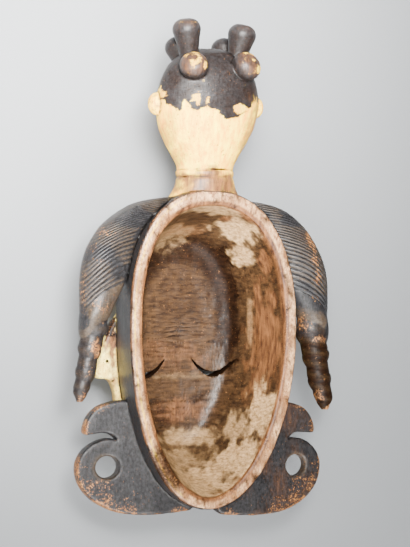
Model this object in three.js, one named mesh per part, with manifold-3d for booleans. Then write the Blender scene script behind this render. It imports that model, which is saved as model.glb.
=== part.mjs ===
// A carved wooden face mask in one piece, lying face down with its hollow upwards.
// Millimetres. While it is shaped, x is to the right, y runs from the chin to the head on top,
// and z rises out of the hollow from the flat back of the rim. At the end it is set down on z = 0.
import * as THREE from "three";
import { mergeVertices } from "three/addons/utils/BufferGeometryUtils.js";
import Module from "manifold-3d";

// The rim: an egg with its wide end at the top, bowed a little to one side. Its outer edge is worn
// down, and it is flat between two shares of its width.
const RIM = { midY: 190, half: 96.5, up: 146, down: 190, upPower: 2.38, downPower: 2.05, chinLean: 6 };
const RIM_EDGE = 3;
const RIM_FLAT = [0.16, 0.8];
const AROUND = 40;

// The hollow behind the face: its section as shares of the rim's inner outline against depth.
const HOLLOW = { half: 83.2, up: 130, down: 177.5, upPower: 2.35, downPower: 1.92 };
const HOLLOW_SECTION = [
  [1, 3], [0.965, 16], [0.91, 38], [0.85, 60], [0.77, 81], [0.67, 91.5], [0.42, 96], [0.12, 97.5],
];

// The outside: a superellipse section, then the forms of the face on top of it, which fade out
// towards the rim. What touches the ground is worn flat at the rest depth.
const FACE = { depth: 113, power: 2.6, rings: 13, fade: [0.75, 0.97] };
const REST_DEPTH = 124;
const FACE_FORMS = [
  { at: [0, 232], radius: [62, 48], rise: 16 },
  { at: [0, 34], radius: [27, 20], rise: 14 },
  { at: [0, 70], radius: [36, 20], rise: 7 },
  { at: [50, 96], radius: [24, 30], rise: 6 },
  { at: [-50, 96], radius: [24, 30], rise: 6 },
  { at: [43, 160], radius: [33, 22], rise: -6 },
  { at: [-43, 160], radius: [33, 22], rise: -6 },
];
const HAIRLINE = { shares: [0.84, 0.99], rise: 3.5, fade: [210, 240] };

// The features of the face, right side; the left side mirrors them.
const BROW = { from: [8, 170], bend: [45, 214], to: [84, 160], radius: 4.6, endRadius: 2, sunk: 1 };
const LID = { at: [41, 149, -105.5], size: [27, 16, 10] };
const EYE_SLIT = {
  inner: [16, 155], bend: [41, 121.5], outer: [62, 154], width: 4.6, taper: 0.12, steps: 8, depths: [70, 130],
};
const NOSE = {
  sections: [[186, 8, 111], [164, 8, 114], [140, 10, 119], [116, 15, 125], [105, 15.5, 125], [97, 11, 111]],
  back: 104,
  flank: 0.9,
  ridge: 0.45,
};
const NOSTRIL = { at: [15, 107, -107], size: [9, 10, 11] };
const LIPS = [
  { y: 69, half: 31, corner: 1.5, depth: 112, radius: 7.5, rise: 6.5, bow: 5.5 },
  { y: 69, half: 31, corner: 1.5, depth: 111, radius: 8, rise: -6.5, bow: -8 },
];
const BAR_SIDES = 6;

// The ear beside the cheek, and the cheek's own edge under it.
const EAR = {
  outline: [
    [80, 202], [92, 200], [101, 184], [107, 166], [112, 150], [114, 142.5], [110, 137.8], [100, 136.5],
    [95, 131], [92, 122], [90, 112], [80, 106],
  ],
  points: 22,
  depth: 54,
  thick: 13,
  edge: 3.5,
};

// The braids: grooves run from the rim wall out to a plain border, then comes a knot.
const BRAID = {
  inner: [[38, 322], [57, 309], [73, 295], [83, 278], [88, 260], [92, 243], [104, 226]],
  outer: [[90, 320], [119, 299.5], [135, 277], [141.5, 259], [144, 243], [144.7, 226], [144, 207]],
  knot: [
    { from: [107, 215], to: [145, 198], thick: 17 },
    { from: [112, 204], to: [145.3, 189], thick: 14.5 },
    { from: [121, 195], to: [144.5, 183], thick: 9 },
  ],
  grooves: 25,
  grooveDepth: 2.1,
  bend: [0.62, 0.1],
  borderFrom: 0.9,
  depth: 23,
  thick: 19,
  edge: 2,
  roundTo: 0.16,
  thinFrom: 0.6,
  thinBy: 0.18,
  across: 5,
};

// The loose end of each braid, twisted in swellings down to a blunt point.
const TIP = {
  centre: [[127, 208], [130, 187], [134, 168], [137.5, 149], [142.5, 130], [145, 116]],
  radius: [12.5, 13, 11, 10, 8.7, 3],
  swellings: 4,
  swell: 0.16,
  slant: 0.12,
  plainFrom: 0.85,
  flatness: 0.95,
  rings: 18,
  sides: 8,
};

// The scrolled wings below: a hooked upper lobe, a slit and a round lower lobe with a hole.
const WING = {
  outline: [
    [70, 108], [85, 112.5], [100, 112.5], [112, 110], [122, 106], [129.5, 99.5], [134.5, 91], [136.8, 81.5],
    [134.5, 77.5], [127, 78], [117, 79], [109, 77.5], [101.5, 71.5], [110, 73.2], [121, 71], [131, 66],
    [139.5, 57.5], [144.2, 46.5], [144.2, 36], [141, 25.5], [134.5, 15.5], [124, 6], [110, -1.5], [95.5, -6],
    [80, -8], [62, -8.6], [45, -7.8], [30, -6.6], [18, -4.2], [15, 4], [34, 24], [56, 60], [66, 90],
  ],
  hole: { at: [112, 43], radius: [12.6, 11.6], sides: 18 },
  depth: 25,
  thick: 14,
  bevel: [2.1, 3],
  sweep: 0.13,
  sweepFrom: 60,
};

// The right side hangs lower than the left, as a hand-carved pair does.
const SIDES = [
  { sign: -1, braidDrop: 0, tipDrop: 0, tipGirth: 1, tipIn: 0, wingDrop: -3 },
  { sign: 1, braidDrop: 9, tipDrop: 16, tipGirth: 1.2, tipIn: 2.5, wingDrop: 3.5 },
];

// The small head and its neck: sections as [y, half width, half depth, depth of the middle].
const HEAD_SECTIONS = [
  [321, 45, 28, 30], [331, 39, 27, 29], [340, 34, 26.5, 28], [347, 32, 26.5, 28],
  [350, 30.6, 25.2, 28], [353, 31.6, 26.4, 28], [358, 31.6, 26.4, 28], [361, 30.6, 25.2, 28],
  [365, 32, 27, 27], [376, 38.5, 31, 27], [388, 46, 34, 26], [402, 53, 36, 24], [418, 56.5, 36.5, 22],
  [434, 56.5, 36, 20], [448, 54, 33.5, 19], [460, 49.5, 30, 18], [471, 42, 25, 18], [480, 30, 18, 18],
  [485.5, 13.5, 8, 18],
];
const HEAD_SIDES = 22;
const SMALL_EAR = { at: [57, 427, -24], size: [10, 12, 8.5] };
const SMALL_NOSE = { sections: [[440, 4, 55], [418, 8, 69], [412, 8, 68], [407, 5.5, 55]], back: 40 };
const SMALL_FORMS = [
  { at: [0, 384, -48], size: [18, 12, 13] },
  { at: [0, 397, -54], size: [15, 5, 8] },
  { at: [21, 427, -50], size: [13, 7.5, 8] },
  { at: [-21, 427, -50], size: [13, 7.5, 8] },
  { at: [0, 448, -40], size: [46, 9, 14] },
];

// Six knobs of hair in three pairs, no two quite alike: a waisted shaft with a round cap.
const KNOBS = [
  { foot: [-22, 452, -10], cap: [-30, 466, 10], girth: 1 },
  { foot: [24, 454, -10], cap: [32, 467.8, 10], girth: 1.06 },
  { foot: [-24, 466, -12], cap: [-31.3, 506, -6], girth: 1 },
  { foot: [26.6, 463, -12], cap: [33.9, 503, -6], girth: 1 },
  { foot: [-20, 462, -30], cap: [-25.5, 491, -42], girth: 0.93 },
  { foot: [24, 462, -30], cap: [29.6, 491, -42], girth: 0.93 },
];
const KNOB_SHAFT = [[-8, 9], [2, 9.5]];
const KNOB_CAP = [[-17, 11], [-7, 14], [-3, 15], [2, 14.6], [7, 11.5], [10, 6.5]];
const KNOB_SIDES = 10;

const BLACKENED_WOOD = { color: 0x3a3330, roughness: 0.6, metalness: 0 };

const wasm = await Module();
wasm.setup();

function solid(geometry) {
  const plain = new THREE.BufferGeometry();
  plain.setAttribute("position", geometry.getAttribute("position"));
  if (geometry.index) plain.setIndex(geometry.index);
  const merged = mergeVertices(plain, 1e-4);
  const mesh = new wasm.Mesh({
    numProp: 3,
    vertProperties: new Float32Array(merged.attributes.position.array),
    triVerts: new Uint32Array(merged.index.array),
  });
  return new wasm.Manifold(mesh);
}

// A closed body through rings of points, each ring closed by a fan to its own middle at the ends.
function ringBody(rings) {
  const around = rings[0].length;
  const points = rings.flat();
  const corners = [];
  for (let r = 0; r + 1 < rings.length; r++) {
    for (let i = 0; i < around; i++) {
      const a = r * around + i;
      const b = r * around + ((i + 1) % around);
      corners.push(a, b, a + around, b, b + around, a + around);
    }
  }
  const middle = (ring) => ring.reduce((sum, p) => sum.add(p), new THREE.Vector3()).divideScalar(around);
  const first = points.push(middle(rings[0])) - 1;
  const last = points.push(middle(rings.at(-1))) - 1;
  const end = (rings.length - 1) * around;
  for (let i = 0; i < around; i++) {
    const next = (i + 1) % around;
    corners.push(first, next, i, last, end + i, end + next);
  }
  const geometry = new THREE.BufferGeometry().setFromPoints(points);
  geometry.setIndex(corners);
  const made = solid(geometry);
  if (made.volume() > 0) return made;
  for (let i = 0; i < corners.length; i += 3) {
    [corners[i + 1], corners[i + 2]] = [corners[i + 2], corners[i + 1]];
  }
  geometry.setIndex(corners);
  return solid(geometry);
}

const point = (x, y, z) => new THREE.Vector3(x, y, z);
const turn = (share) => share * 2 * Math.PI;
const curve2 = (points) => new THREE.SplineCurve(points.map(([x, y]) => new THREE.Vector2(x, y)));

function smoothStep(from, to, value) {
  return THREE.MathUtils.smoothstep(value, from, to);
}

// The egg outline at an angle, at a share of its full size.
function eggPoint(egg, angle, share) {
  const cos = Math.cos(angle);
  const sin = Math.sin(angle);
  const power = 2 / (sin > 0 ? egg.upPower : egg.downPower);
  const x = egg.half * share * Math.sign(cos) * Math.abs(cos) ** power;
  const y = RIM.midY + (sin > 0 ? egg.up : egg.down) * share * Math.sign(sin) * Math.abs(sin) ** power;
  return [x, y];
}

const lean = (y) => -RIM.chinLean * ((y - RIM.midY) / RIM.down) ** 2;

// How far the forms of the face stand out of the plain section.
function faceRelief(x, y) {
  let rise = 0;
  for (const form of FACE_FORMS) {
    const across = (x - form.at[0]) / form.radius[0];
    const along = (y - form.at[1]) / form.radius[1];
    rise += form.rise * Math.exp(-across * across - along * along);
  }
  return rise;
}

function faceDepth(share) {
  return FACE.depth * Math.max(0, 1 - share ** FACE.power) ** (1 / FACE.power);
}

// Depth of the outside at a place whose share of the outline is known.
function outsideDepth(share, x, y) {
  return faceDepth(share) + faceRelief(x, y) * (1 - smoothStep(...FACE.fade, share));
}

function bowl() {
  const angles = Array.from({ length: AROUND }, (_, i) => turn(i / AROUND));
  const ring = (egg, share, depthAt) => angles.map((angle) => {
    const [x, y] = eggPoint(egg, angle, share);
    return point(x + lean(y), y, -depthAt(x, y));
  });
  const rings = [];
  for (let r = 1; r < FACE.rings; r++) {
    const share = Math.sin((r / FACE.rings) * (Math.PI / 2)) ** (2 / FACE.power);
    const [hairFrom, hairTo] = HAIRLINE.shares;
    const rise = share > hairFrom && share < hairTo ? HAIRLINE.rise : 0;
    const hair = (y) => rise * smoothStep(...HAIRLINE.fade, y);
    rings.push(ring(RIM, share, (x, y) => outsideDepth(share, x, y) + hair(y)));
  }
  rings.push(ring(RIM, 1, () => RIM_EDGE));
  for (const share of RIM_FLAT) {
    rings.push(angles.map((angle) => {
      const outside = eggPoint(RIM, angle, 1);
      const inside = eggPoint(HOLLOW, angle, 1);
      const x = THREE.MathUtils.lerp(outside[0], inside[0], share);
      const y = THREE.MathUtils.lerp(outside[1], inside[1], share);
      return point(x + lean(y), y, 0);
    }));
  }
  for (const [share, depth] of HOLLOW_SECTION) rings.push(ring(HOLLOW, share, () => depth));
  return ringBody(rings);
}

// A rounded bar along a path of [x, y, depth, radius] stations.
function bar(stations) {
  const path = new THREE.CatmullRomCurve3(stations.map(([x, y, depth]) => point(x, y, -depth)));
  const steps = (stations.length - 1) * 2;
  const rings = [];
  for (let s = 0; s <= steps; s++) {
    const share = s / steps;
    const at = path.getPoint(share);
    const tangent = path.getTangent(share);
    const side = new THREE.Vector3(-tangent.y, tangent.x, 0).normalize();
    const out = new THREE.Vector3().crossVectors(tangent, side);
    const radius = between(stations.map((station) => station[3]), share);
    rings.push(circle(at, side, out, radius, BAR_SIDES));
  }
  return ringBody(rings);
}

function circle(at, side, out, radius, sides) {
  return Array.from({ length: sides }, (_, i) => {
    const angle = turn(i / sides);
    const across = side.clone().multiplyScalar(radius * Math.cos(angle));
    return at.clone().add(across).addScaledVector(out, radius * Math.sin(angle));
  });
}

// The value at a share of the way along a list of evenly spaced values.
function between(values, share) {
  const station = share * (values.length - 1);
  const low = Math.min(Math.floor(station), values.length - 2);
  return THREE.MathUtils.lerp(values[low], values[low + 1], station - low);
}

function ball({ at, size }, sign = 1, across = 10, down = 6) {
  const [x, y, z] = at;
  return solid(new THREE.SphereGeometry(1, across, down).scale(...size).translate(sign * x, y, z));
}

// Depth of the face's own surface at a place on it.
function surfaceDepth(x, y) {
  const [reach, power] = y > RIM.midY ? [RIM.up, RIM.upPower] : [RIM.down, RIM.downPower];
  const across = Math.abs(x - lean(y)) / RIM.half;
  const along = Math.abs(y - RIM.midY) / reach;
  const share = Math.min(1, (across ** power + along ** power) ** (1 / power));
  return outsideDepth(share, x, y);
}

function bend({ from, bend: middle, to }) {
  return new THREE.QuadraticBezierCurve(
    new THREE.Vector2(...from),
    new THREE.Vector2(...middle),
    new THREE.Vector2(...to),
  );
}

function brow({ sign }) {
  const arc = bend(BROW);
  const stations = [0, 0.25, 0.5, 0.75, 1].map((share) => {
    const { x, y } = arc.getPoint(share);
    const radius = share === 1 ? BROW.endRadius : BROW.radius;
    return [sign * x, y, surfaceDepth(sign * x, y) - BROW.sunk, radius];
  });
  return bar(stations);
}

// Each eye is open along a slit that smiles, cut right through the wood.
function eyeSlit({ sign }) {
  const { inner, outer, width, taper, steps, depths } = EYE_SLIT;
  const arc = bend({ from: inner, bend: EYE_SLIT.bend, to: outer });
  const below = [];
  const above = [];
  for (let s = 0; s <= steps; s++) {
    const at = arc.getPoint(s / steps);
    const gap = (width / 2) * Math.sin(Math.PI * (taper + ((1 - 2 * taper) * s) / steps));
    below.push(new THREE.Vector2(sign * at.x, at.y - gap));
    above.unshift(new THREE.Vector2(sign * at.x, at.y + gap));
  }
  const shape = new THREE.Shape([...below, ...above]);
  const [from, to] = depths;
  const geometry = new THREE.ExtrudeGeometry(shape, { depth: to - from, bevelEnabled: false });
  return solid(geometry.translate(0, 0, -to));
}

// A ridge with a soft top through sections of [y, half width, depth].
function ridge({ sections, back, flank = 1, ridge: top = 0.5 }) {
  const rings = sections.map(([y, half, out]) => [
    point(-half, y, -back), point(-half * flank, y, -(back + out) / 2), point(-half * top, y, -out),
    point(half * top, y, -out), point(half * flank, y, -(back + out) / 2), point(half, y, -back),
  ]);
  return ringBody(rings);
}

function lip({ y, half, corner, depth, radius, rise, bow }) {
  const side = [half / 2, y + rise, depth - 1, radius * 0.8];
  const end = [half, y, depth - 10, corner];
  const mirror = ([x, ...rest]) => [-x, ...rest];
  return bar([mirror(end), mirror(side), [0, y + bow, depth, radius], side, end]);
}

function ear({ sign }) {
  const shape = new THREE.Shape(curve2(EAR.outline).getPoints(EAR.points));
  const geometry = new THREE.ExtrudeGeometry(shape, {
    depth: EAR.thick - 2 * EAR.edge,
    bevelThickness: EAR.edge,
    bevelSize: EAR.edge,
    bevelOffset: -EAR.edge,
    bevelSegments: 1,
  });
  geometry.translate(0, 0, -EAR.depth - EAR.thick + EAR.edge);
  return solid(mirrored(geometry, sign));
}

// The left side's copy of an extruded shape, with its corners in the other order.
function mirrored(geometry, sign) {
  if (sign > 0) return geometry;
  geometry.scale(-1, 1, 1);
  const place = geometry.getAttribute("position");
  for (let i = 0; i < place.count; i += 3) {
    const [bx, by, bz] = [place.getX(i + 1), place.getY(i + 1), place.getZ(i + 1)];
    place.setXYZ(i + 1, place.getX(i + 2), place.getY(i + 2), place.getZ(i + 2));
    place.setXYZ(i + 2, bx, by, bz);
  }
  return geometry;
}

// Half thickness of the braid along it: round at its top edge, thinner towards the knot.
function braidThick(share) {
  const top = Math.min(1, share / BRAID.roundTo);
  const rounded = Math.sqrt(1 - (1 - top) ** 2);
  const thinned = 1 - BRAID.thinBy * smoothStep(BRAID.thinFrom, 1, share);
  return BRAID.edge + (BRAID.thick - BRAID.edge) * rounded * thinned;
}

// A ring round the braid whose middle line follows one groove, from the rim wall to the border.
function braidRing({ sign, braidDrop }, from, to, thick, cut) {
  const [along, down] = BRAID.bend;
  const middle = new THREE.Vector2(from.x + along * (to.x - from.x), from.y + down * (to.y - from.y));
  const groove = new THREE.QuadraticBezierCurve(from, middle, to);
  return Array.from({ length: BRAID.across * 2 }, (_, i) => {
    const angle = turn(i / (BRAID.across * 2));
    const across = (1 - Math.cos(angle)) / 2;
    const at = groove.getPoint(across);
    const height = (thick - (across < BRAID.borderFrom ? cut : 0)) * Math.sin(angle);
    return point(sign * at.x, at.y - braidDrop, height - BRAID.depth);
  });
}

function braid(side) {
  const inner = curve2(BRAID.inner);
  const outer = curve2(BRAID.outer);
  const rings = [];
  const steps = BRAID.grooves * 2;
  for (let s = 0; s <= steps; s++) {
    const share = s / steps;
    const cut = s % 2 === 1 ? BRAID.grooveDepth : 0;
    rings.push(braidRing(side, inner.getPointAt(share), outer.getPointAt(share), braidThick(share), cut));
  }
  for (const { from, to, thick } of BRAID.knot) {
    rings.push(braidRing(side, new THREE.Vector2(...from), new THREE.Vector2(...to), thick, 0));
  }
  return ringBody(rings);
}

function braidTip({ sign, braidDrop, tipDrop, tipGirth, tipIn }) {
  const centre = curve2(TIP.centre);
  const rings = [];
  for (let r = 0; r <= TIP.rings; r++) {
    const share = r / TIP.rings;
    const at = centre.getPoint(share);
    const radius = tipGirth * between(TIP.radius, share);
    const drop = THREE.MathUtils.lerp(braidDrop, tipDrop, share);
    rings.push(Array.from({ length: TIP.sides }, (_, i) => {
      const angle = turn(i / TIP.sides);
      const wave = Math.cos(turn(TIP.swellings * share + TIP.slant * Math.cos(angle)));
      const reach = radius * (1 + TIP.swell * (0.5 - 0.5 * wave) * (1 - smoothStep(TIP.plainFrom, 1, share)));
      const x = at.x - tipIn + reach * Math.cos(angle);
      return point(sign * x, at.y - drop, reach * TIP.flatness * Math.sin(angle) - BRAID.depth);
    }));
  }
  return ringBody(rings);
}

function wing({ sign, wingDrop }) {
  const shape = new THREE.Shape(WING.outline.map(([x, y]) => new THREE.Vector2(x, y)));
  const { at, radius } = WING.hole;
  const [inset, edge] = WING.bevel;
  const hole = Array.from({ length: WING.hole.sides }, (_, i) => {
    const angle = turn(i / WING.hole.sides);
    return new THREE.Vector2(at[0] + radius[0] * Math.cos(angle), at[1] + radius[1] * Math.sin(angle));
  });
  shape.holes.push(new THREE.Path(hole));
  const geometry = new THREE.ExtrudeGeometry(shape, {
    depth: WING.thick - 2 * edge,
    bevelThickness: edge,
    bevelSize: inset,
    bevelOffset: -inset,
    bevelSegments: 1,
  });
  geometry.translate(0, -wingDrop, -WING.depth - WING.thick + edge);
  const place = geometry.getAttribute("position");
  for (let i = 0; i < place.count; i++) {
    const sweep = Math.max(0, place.getX(i) - WING.sweepFrom) * WING.sweep;
    place.setZ(i, place.getZ(i) - sweep);
  }
  return solid(mirrored(geometry, sign));
}

function headAndNeck() {
  return ringBody(HEAD_SECTIONS.map(([y, width, deep, depth]) =>
    Array.from({ length: HEAD_SIDES }, (_, i) => {
      const angle = turn(i / HEAD_SIDES);
      return point(width * Math.cos(angle), y, deep * Math.sin(angle) - depth);
    }),
  ));
}

function knob({ foot, cap, girth }) {
  const from = point(...foot);
  const way = point(...cap).sub(from);
  const length = way.length();
  way.normalize();
  const side = new THREE.Vector3(way.y, -way.x, 0).normalize();
  const out = new THREE.Vector3().crossVectors(way, side);
  const stations = [...KNOB_SHAFT, ...KNOB_CAP.map(([along, radius]) => [length + along, radius])];
  return ringBody(stations.map(([along, radius]) => {
    const at = from.clone().addScaledVector(way, along);
    return circle(at, side, out, radius * girth, KNOB_SIDES);
  }));
}

// The forehead and the tip of the nose are flat where the mask lies on them.
function below() {
  const size = 4 * RIM.up;
  const box = new THREE.BoxGeometry(size, size, size).translate(0, RIM.midY, -REST_DEPTH - size / 2);
  return solid(box);
}

function carving() {
  const face = [
    ridge(NOSE), ...LIPS.map(lip), ...SIDES.map(brow), ...SIDES.map(ear),
    ...SIDES.flatMap(({ sign }) => [ball(LID, sign), ball(NOSTRIL, sign)]),
  ];
  const sides = SIDES.flatMap((side) => [braid(side), braidTip(side), wing(side)]);
  const head = [
    headAndNeck(), ridge(SMALL_NOSE), ...SMALL_FORMS.map((form) => ball(form, 1, 8)),
    ...SIDES.map(({ sign }) => ball(SMALL_EAR, sign, 8)), ...KNOBS.map(knob),
  ];
  const whole = [...face, ...sides, ...head].reduce((sum, piece) => sum.add(piece), bowl());
  return [...SIDES.map(eyeSlit), below()].reduce((sum, cut) => sum.subtract(cut), whole);
}

const carved = carving();
const { min, max } = carved.boundingBox();
const result = carved.getMesh();
const geometry = new THREE.BufferGeometry();
geometry.setAttribute("position", new THREE.BufferAttribute(new Float32Array(result.vertProperties), 3));
geometry.setIndex(new THREE.BufferAttribute(new Uint32Array(result.triVerts), 1));
geometry.translate(-(min[0] + max[0]) / 2, -(min[1] + max[1]) / 2, -min[2]);
geometry.computeVertexNormals();

const mask = new THREE.Mesh(geometry, new THREE.MeshStandardMaterial(BLACKENED_WOOD));
mask.name = "mask";

const part = new THREE.Group();
part.add(mask);
export default part;
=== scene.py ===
import math
import bmesh
import bpy
import numpy as np
from mathutils import Matrix, Vector
from mathutils.geometry import delaunay_2d_cdt


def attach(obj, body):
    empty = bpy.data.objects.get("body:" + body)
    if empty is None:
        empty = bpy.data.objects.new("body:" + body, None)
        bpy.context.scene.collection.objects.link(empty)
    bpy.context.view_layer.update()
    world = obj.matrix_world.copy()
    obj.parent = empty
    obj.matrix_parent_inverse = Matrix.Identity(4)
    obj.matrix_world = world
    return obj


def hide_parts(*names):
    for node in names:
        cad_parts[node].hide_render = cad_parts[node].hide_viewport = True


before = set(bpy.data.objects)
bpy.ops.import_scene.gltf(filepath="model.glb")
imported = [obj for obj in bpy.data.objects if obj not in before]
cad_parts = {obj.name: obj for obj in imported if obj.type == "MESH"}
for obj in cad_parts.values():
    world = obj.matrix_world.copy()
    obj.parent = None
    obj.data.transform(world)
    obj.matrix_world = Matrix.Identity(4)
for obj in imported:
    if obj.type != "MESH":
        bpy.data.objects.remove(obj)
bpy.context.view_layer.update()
print("frame loaded")

# Lengths below are millimetres as the carver sees the back of the mask: x to the right, y from the chin
# to the small head, z out of the hollow from the flat of the rim. carvingZero puts that on the frame.
mm = 0.001
restDepth = 124.0
carvingZero = np.array([-0.35, 252.56, -restDepth])


def toFrame(points):
    return (np.asarray(points, float) - carvingZero) * mm


def smooth(low, high, value):
    t = np.clip((np.asarray(value, float) - low) / (high - low), 0, 1)
    return t * t * (3 - 2 * t)


# Even noise from -1 to 1 on a lattice of the given size in millimetres, the same on every run.
def mottle(points, size, seed):
    q = np.asarray(points, float) / np.asarray(size, float)
    cell = np.floor(q).astype(np.int64)
    f = q - cell
    f = f * f * (3 - 2 * f)
    total = np.zeros(q.shape[:-1])
    for corner in range(8):
        step = np.array([corner & 1, (corner >> 1) & 1, corner >> 2])
        x, y, z = np.moveaxis(cell + step, -1, 0)
        h = (x * 73856093) ^ (y * 19349663) ^ (z * 83492791) ^ (seed * 2654435761)
        h = ((h ^ (h >> 13)) * 1274126177) & 0x7FFFFFFF
        value = (h ^ (h >> 16)) % 10007 / 5003.0 - 1
        total += value * np.prod(np.where(step, f, 1 - f), axis=-1)
    return total


def roughNoise(points, size, seed, octaves=3):
    size = np.asarray(size, float)
    return sum(mottle(points, size / 2**k, seed + k) * 0.6**k for k in range(octaves))


# The way gone after each of many small steps, from nothing at the start.
def wayAlong(steps):
    return np.concatenate([[0], steps.cumsum()])


# The height of a round edge, from 1 at its middle to 0 at its end.
def dome(away):
    return np.sqrt(np.maximum(0, 1 - away**2))


# A smooth curve through given points, at shares of its way; evenly along its length if asked.
def curveAt(points, shares, evenLength=False):
    pts = np.asarray(points, float)
    if evenLength:
        fine = np.linspace(0, 1, 40 * len(pts))
        run = wayAlong(np.linalg.norm(np.diff(curveAt(pts, fine), axis=0), axis=1))
        shares = np.interp(np.asarray(shares) * run[-1], run, fine)
    at = np.clip(np.asarray(shares, float), 0, 1) * (len(pts) - 1)
    i = np.minimum(at.astype(int), len(pts) - 2)
    t = (at - i)[:, None]
    p1, p2 = pts[i], pts[i + 1]
    v1 = (p2 - pts[np.maximum(i - 1, 0)]) / 2
    v2 = (pts[np.minimum(i + 2, len(pts) - 1)] - p1) / 2
    return (2 * (p1 - p2) + v1 + v2) * t**3 + (3 * (p2 - p1) - 2 * v1 - v2) * t**2 + v1 * t + p1


# Soft patches laid one by one, with ragged edges: each is its middle, its half sizes and its strength,
# either (x, y, wide, high, strength) or with the depth as well, (x, y, z, wide, high, deep, strength).
# It fades between these shares of its half sizes.
patchFade = (0.35, 1.15)


def patches(points, strokes, ragged, seed):
    amount = np.zeros(points.shape[:-1])
    jitter = roughNoise(points, 9, seed) * ragged
    for stroke in strokes:
        axes = (len(stroke) - 1) // 2
        away = (points[..., :axes] - np.array(stroke[:axes])) / np.array(stroke[axes:-1])
        away = np.linalg.norm(away, axis=-1) + jitter
        amount = np.maximum(amount, stroke[-1] * (1 - smooth(*patchFade, away)))
    return amount


# Every body carries the same paint: how much of each finish covers each point. It also carries a number,
# so that the seams between bodies can be found after they are joined; a nail hole counts as the ear's.
paintNames = ["clay", "cream", "soot", "hollow", "rim", "wear", "stain", "bloom", "rust"]
bodyNumbers = {"bowl": 1, "slit": 2, "ear": 3, "nailHole": 3, "braid": 4, "braidEnd": 5, "wing": 6, "head": 7,
               "smallEar": 8, "knob": 9}


# A colour written as hex, in linear light.
def linear(code):
    parts = [int(code[k:k + 2], 16) / 255 for k in (1, 3, 5)]
    return tuple(p / 12.92 if p <= 0.04045 else ((p + 0.055) / 1.055) ** 2.4 for p in parts) + (1.0,)


def addObject(name, data):
    made = bpy.data.objects.new(name, data)
    bpy.context.scene.collection.objects.link(made)
    return made


def readValues(data, field, count, kind=float):
    values = np.zeros(count, kind)
    data.foreach_get(field, values)
    return values


def setPaint(mesh, name, values):
    column = mesh.attributes.get(name) or mesh.attributes.new(name, "FLOAT", "POINT")
    column.data.foreach_set("value", np.asarray(values, np.float32))


def makeBody(name, points, faces, paint):
    mesh = bpy.data.meshes.new(name)
    mesh.from_pydata(toFrame(points).tolist(), [], faces)
    for paintName in paintNames:
        setPaint(mesh, paintName, np.zeros(len(points)) + paint.get(paintName, 0.0))
    numbers = np.full(len(faces), bodyNumbers[name], np.int32)
    mesh.attributes.new("body", "INT", "FACE").data.foreach_set("value", numbers)
    mesh.update()
    return addObject(name, mesh)


# Closed skin over rings of points (rings, around, 3); each end is closed by a fan to its middle.
def skinFaces(count, around, inwards):
    r, i = np.meshgrid(np.arange(count - 1), np.arange(around), indexing="ij")
    a, b = r * around + i, r * around + (i + 1) % around
    quads = np.stack([a, b, b + around, a + around], -1).reshape(-1, 4)
    first, last, end = count * around, count * around + 1, (count - 1) * around
    k = np.arange(around)
    caps = np.concatenate([
        np.stack([np.full(around, first), (k + 1) % around, k], -1),
        np.stack([np.full(around, last), end + k, end + (k + 1) % around], -1),
    ])
    if inwards:
        quads, caps = quads[:, ::-1], caps[:, ::-1]
    return quads.tolist() + caps.tolist()


def withMiddles(rings):
    flat = rings.reshape(-1, rings.shape[-1])
    return np.concatenate([flat, rings[0].mean(0)[None], rings[-1].mean(0)[None]])


def ringBody(name, rings, paint):
    points = withMiddles(rings)
    local = rings - rings.mean((0, 1))
    a, b = local[:-1], np.roll(local[:-1], -1, axis=1)
    c, d = np.roll(local[1:], -1, axis=1), local[1:]
    inwards = np.einsum("rij,rij->", a, np.cross(b, c)) + np.einsum("rij,rij->", a, np.cross(c, d)) < 0
    faces = skinFaces(len(rings), rings.shape[1], inwards)
    evenly = np.zeros((*rings.shape[:2], 1))
    spread = {key: withMiddles(evenly + np.asarray(value)[..., None])[:, 0] for key, value in paint.items()}
    return makeBody(name, points, faces, spread)


# Directions that stand off the surface of a grid of rings.
def ringNormals(rings):
    along = np.gradient(rings, axis=0)
    around = (np.roll(rings, -1, axis=1) - np.roll(rings, 1, axis=1)) / 2
    normal = np.cross(along, around)
    return normal / np.maximum(np.linalg.norm(normal, axis=-1, keepdims=True), 1e-9)


def turns(count):
    return np.arange(count) / count * 2 * math.pi


def bezier(start, middle, end, shares):
    t = np.asarray(shares, float)[..., None]
    start, middle, end = (np.asarray(p, float) for p in (start, middle, end))
    return (1 - t) ** 2 * start + 2 * t * (1 - t) * middle + t**2 * end


# The face and its hollow back
bowl = {
    "midY": 190, "chinLean": 6, "around": 224, "outerRings": 88, "rimRings": 17, "innerRings": 134,
    "meanReach": (130, 110),  # mm to the edge outside and in the hollow, to space the rings evenly
    "rim": {"half": 96.5, "up": 146, "down": 190, "upPower": 2.38, "downPower": 2.05},
    "hollow": {"half": 83.2, "up": 130, "down": 177.5, "upPower": 2.35, "downPower": 1.92},
    "depth": 113, "power": 2.6, "fade": (0.75, 0.97),
    "rimProfile": [  # share of the way in, depth
        (0, 3.6), (0.03, 2), (0.09, 0.9), (0.18, 0.25), (0.32, 0), (0.5, 0.1), (0.7, 0.45), (0.84, 0.9),
        (0.94, 1.7), (1, 3.4),
    ],
    "section": [  # share of the hollow's width, depth
        (1, 3), (0.965, 16), (0.91, 38), (0.85, 60), (0.77, 81), (0.67, 91.5), (0.42, 96), (0.2, 97.2),
        (0.012, 97.7),
    ],
    "forms": [  # x, y, half width, half height, rise: forehead, chin, mouth, cheeks, eye sockets
        (0, 232, 62, 48, 16), (0, 34, 27, 20, 14), (0, 70, 36, 20, 7), (50, 96, 24, 30, 6),
        (-50, 96, 24, 30, 6), (43, 160, 33, 22, -6), (-43, 160, 33, 22, -6),
    ],
    "hairShares": (0.84, 0.99), "hairRise": 3.5, "hairFade": (210, 240), "strands": 34, "strandCut": 0.8,
    "blackWall": (0.6, 0.88),
    # The rim's painted highlight: where across its width, how wide, how strong, and stronger towards the
    # left.
    "rimPaintedHighlight": {"at": 0.38, "half": 0.2, "least": 0.3, "more": 0.36, "across": (40, -70)},
}
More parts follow.
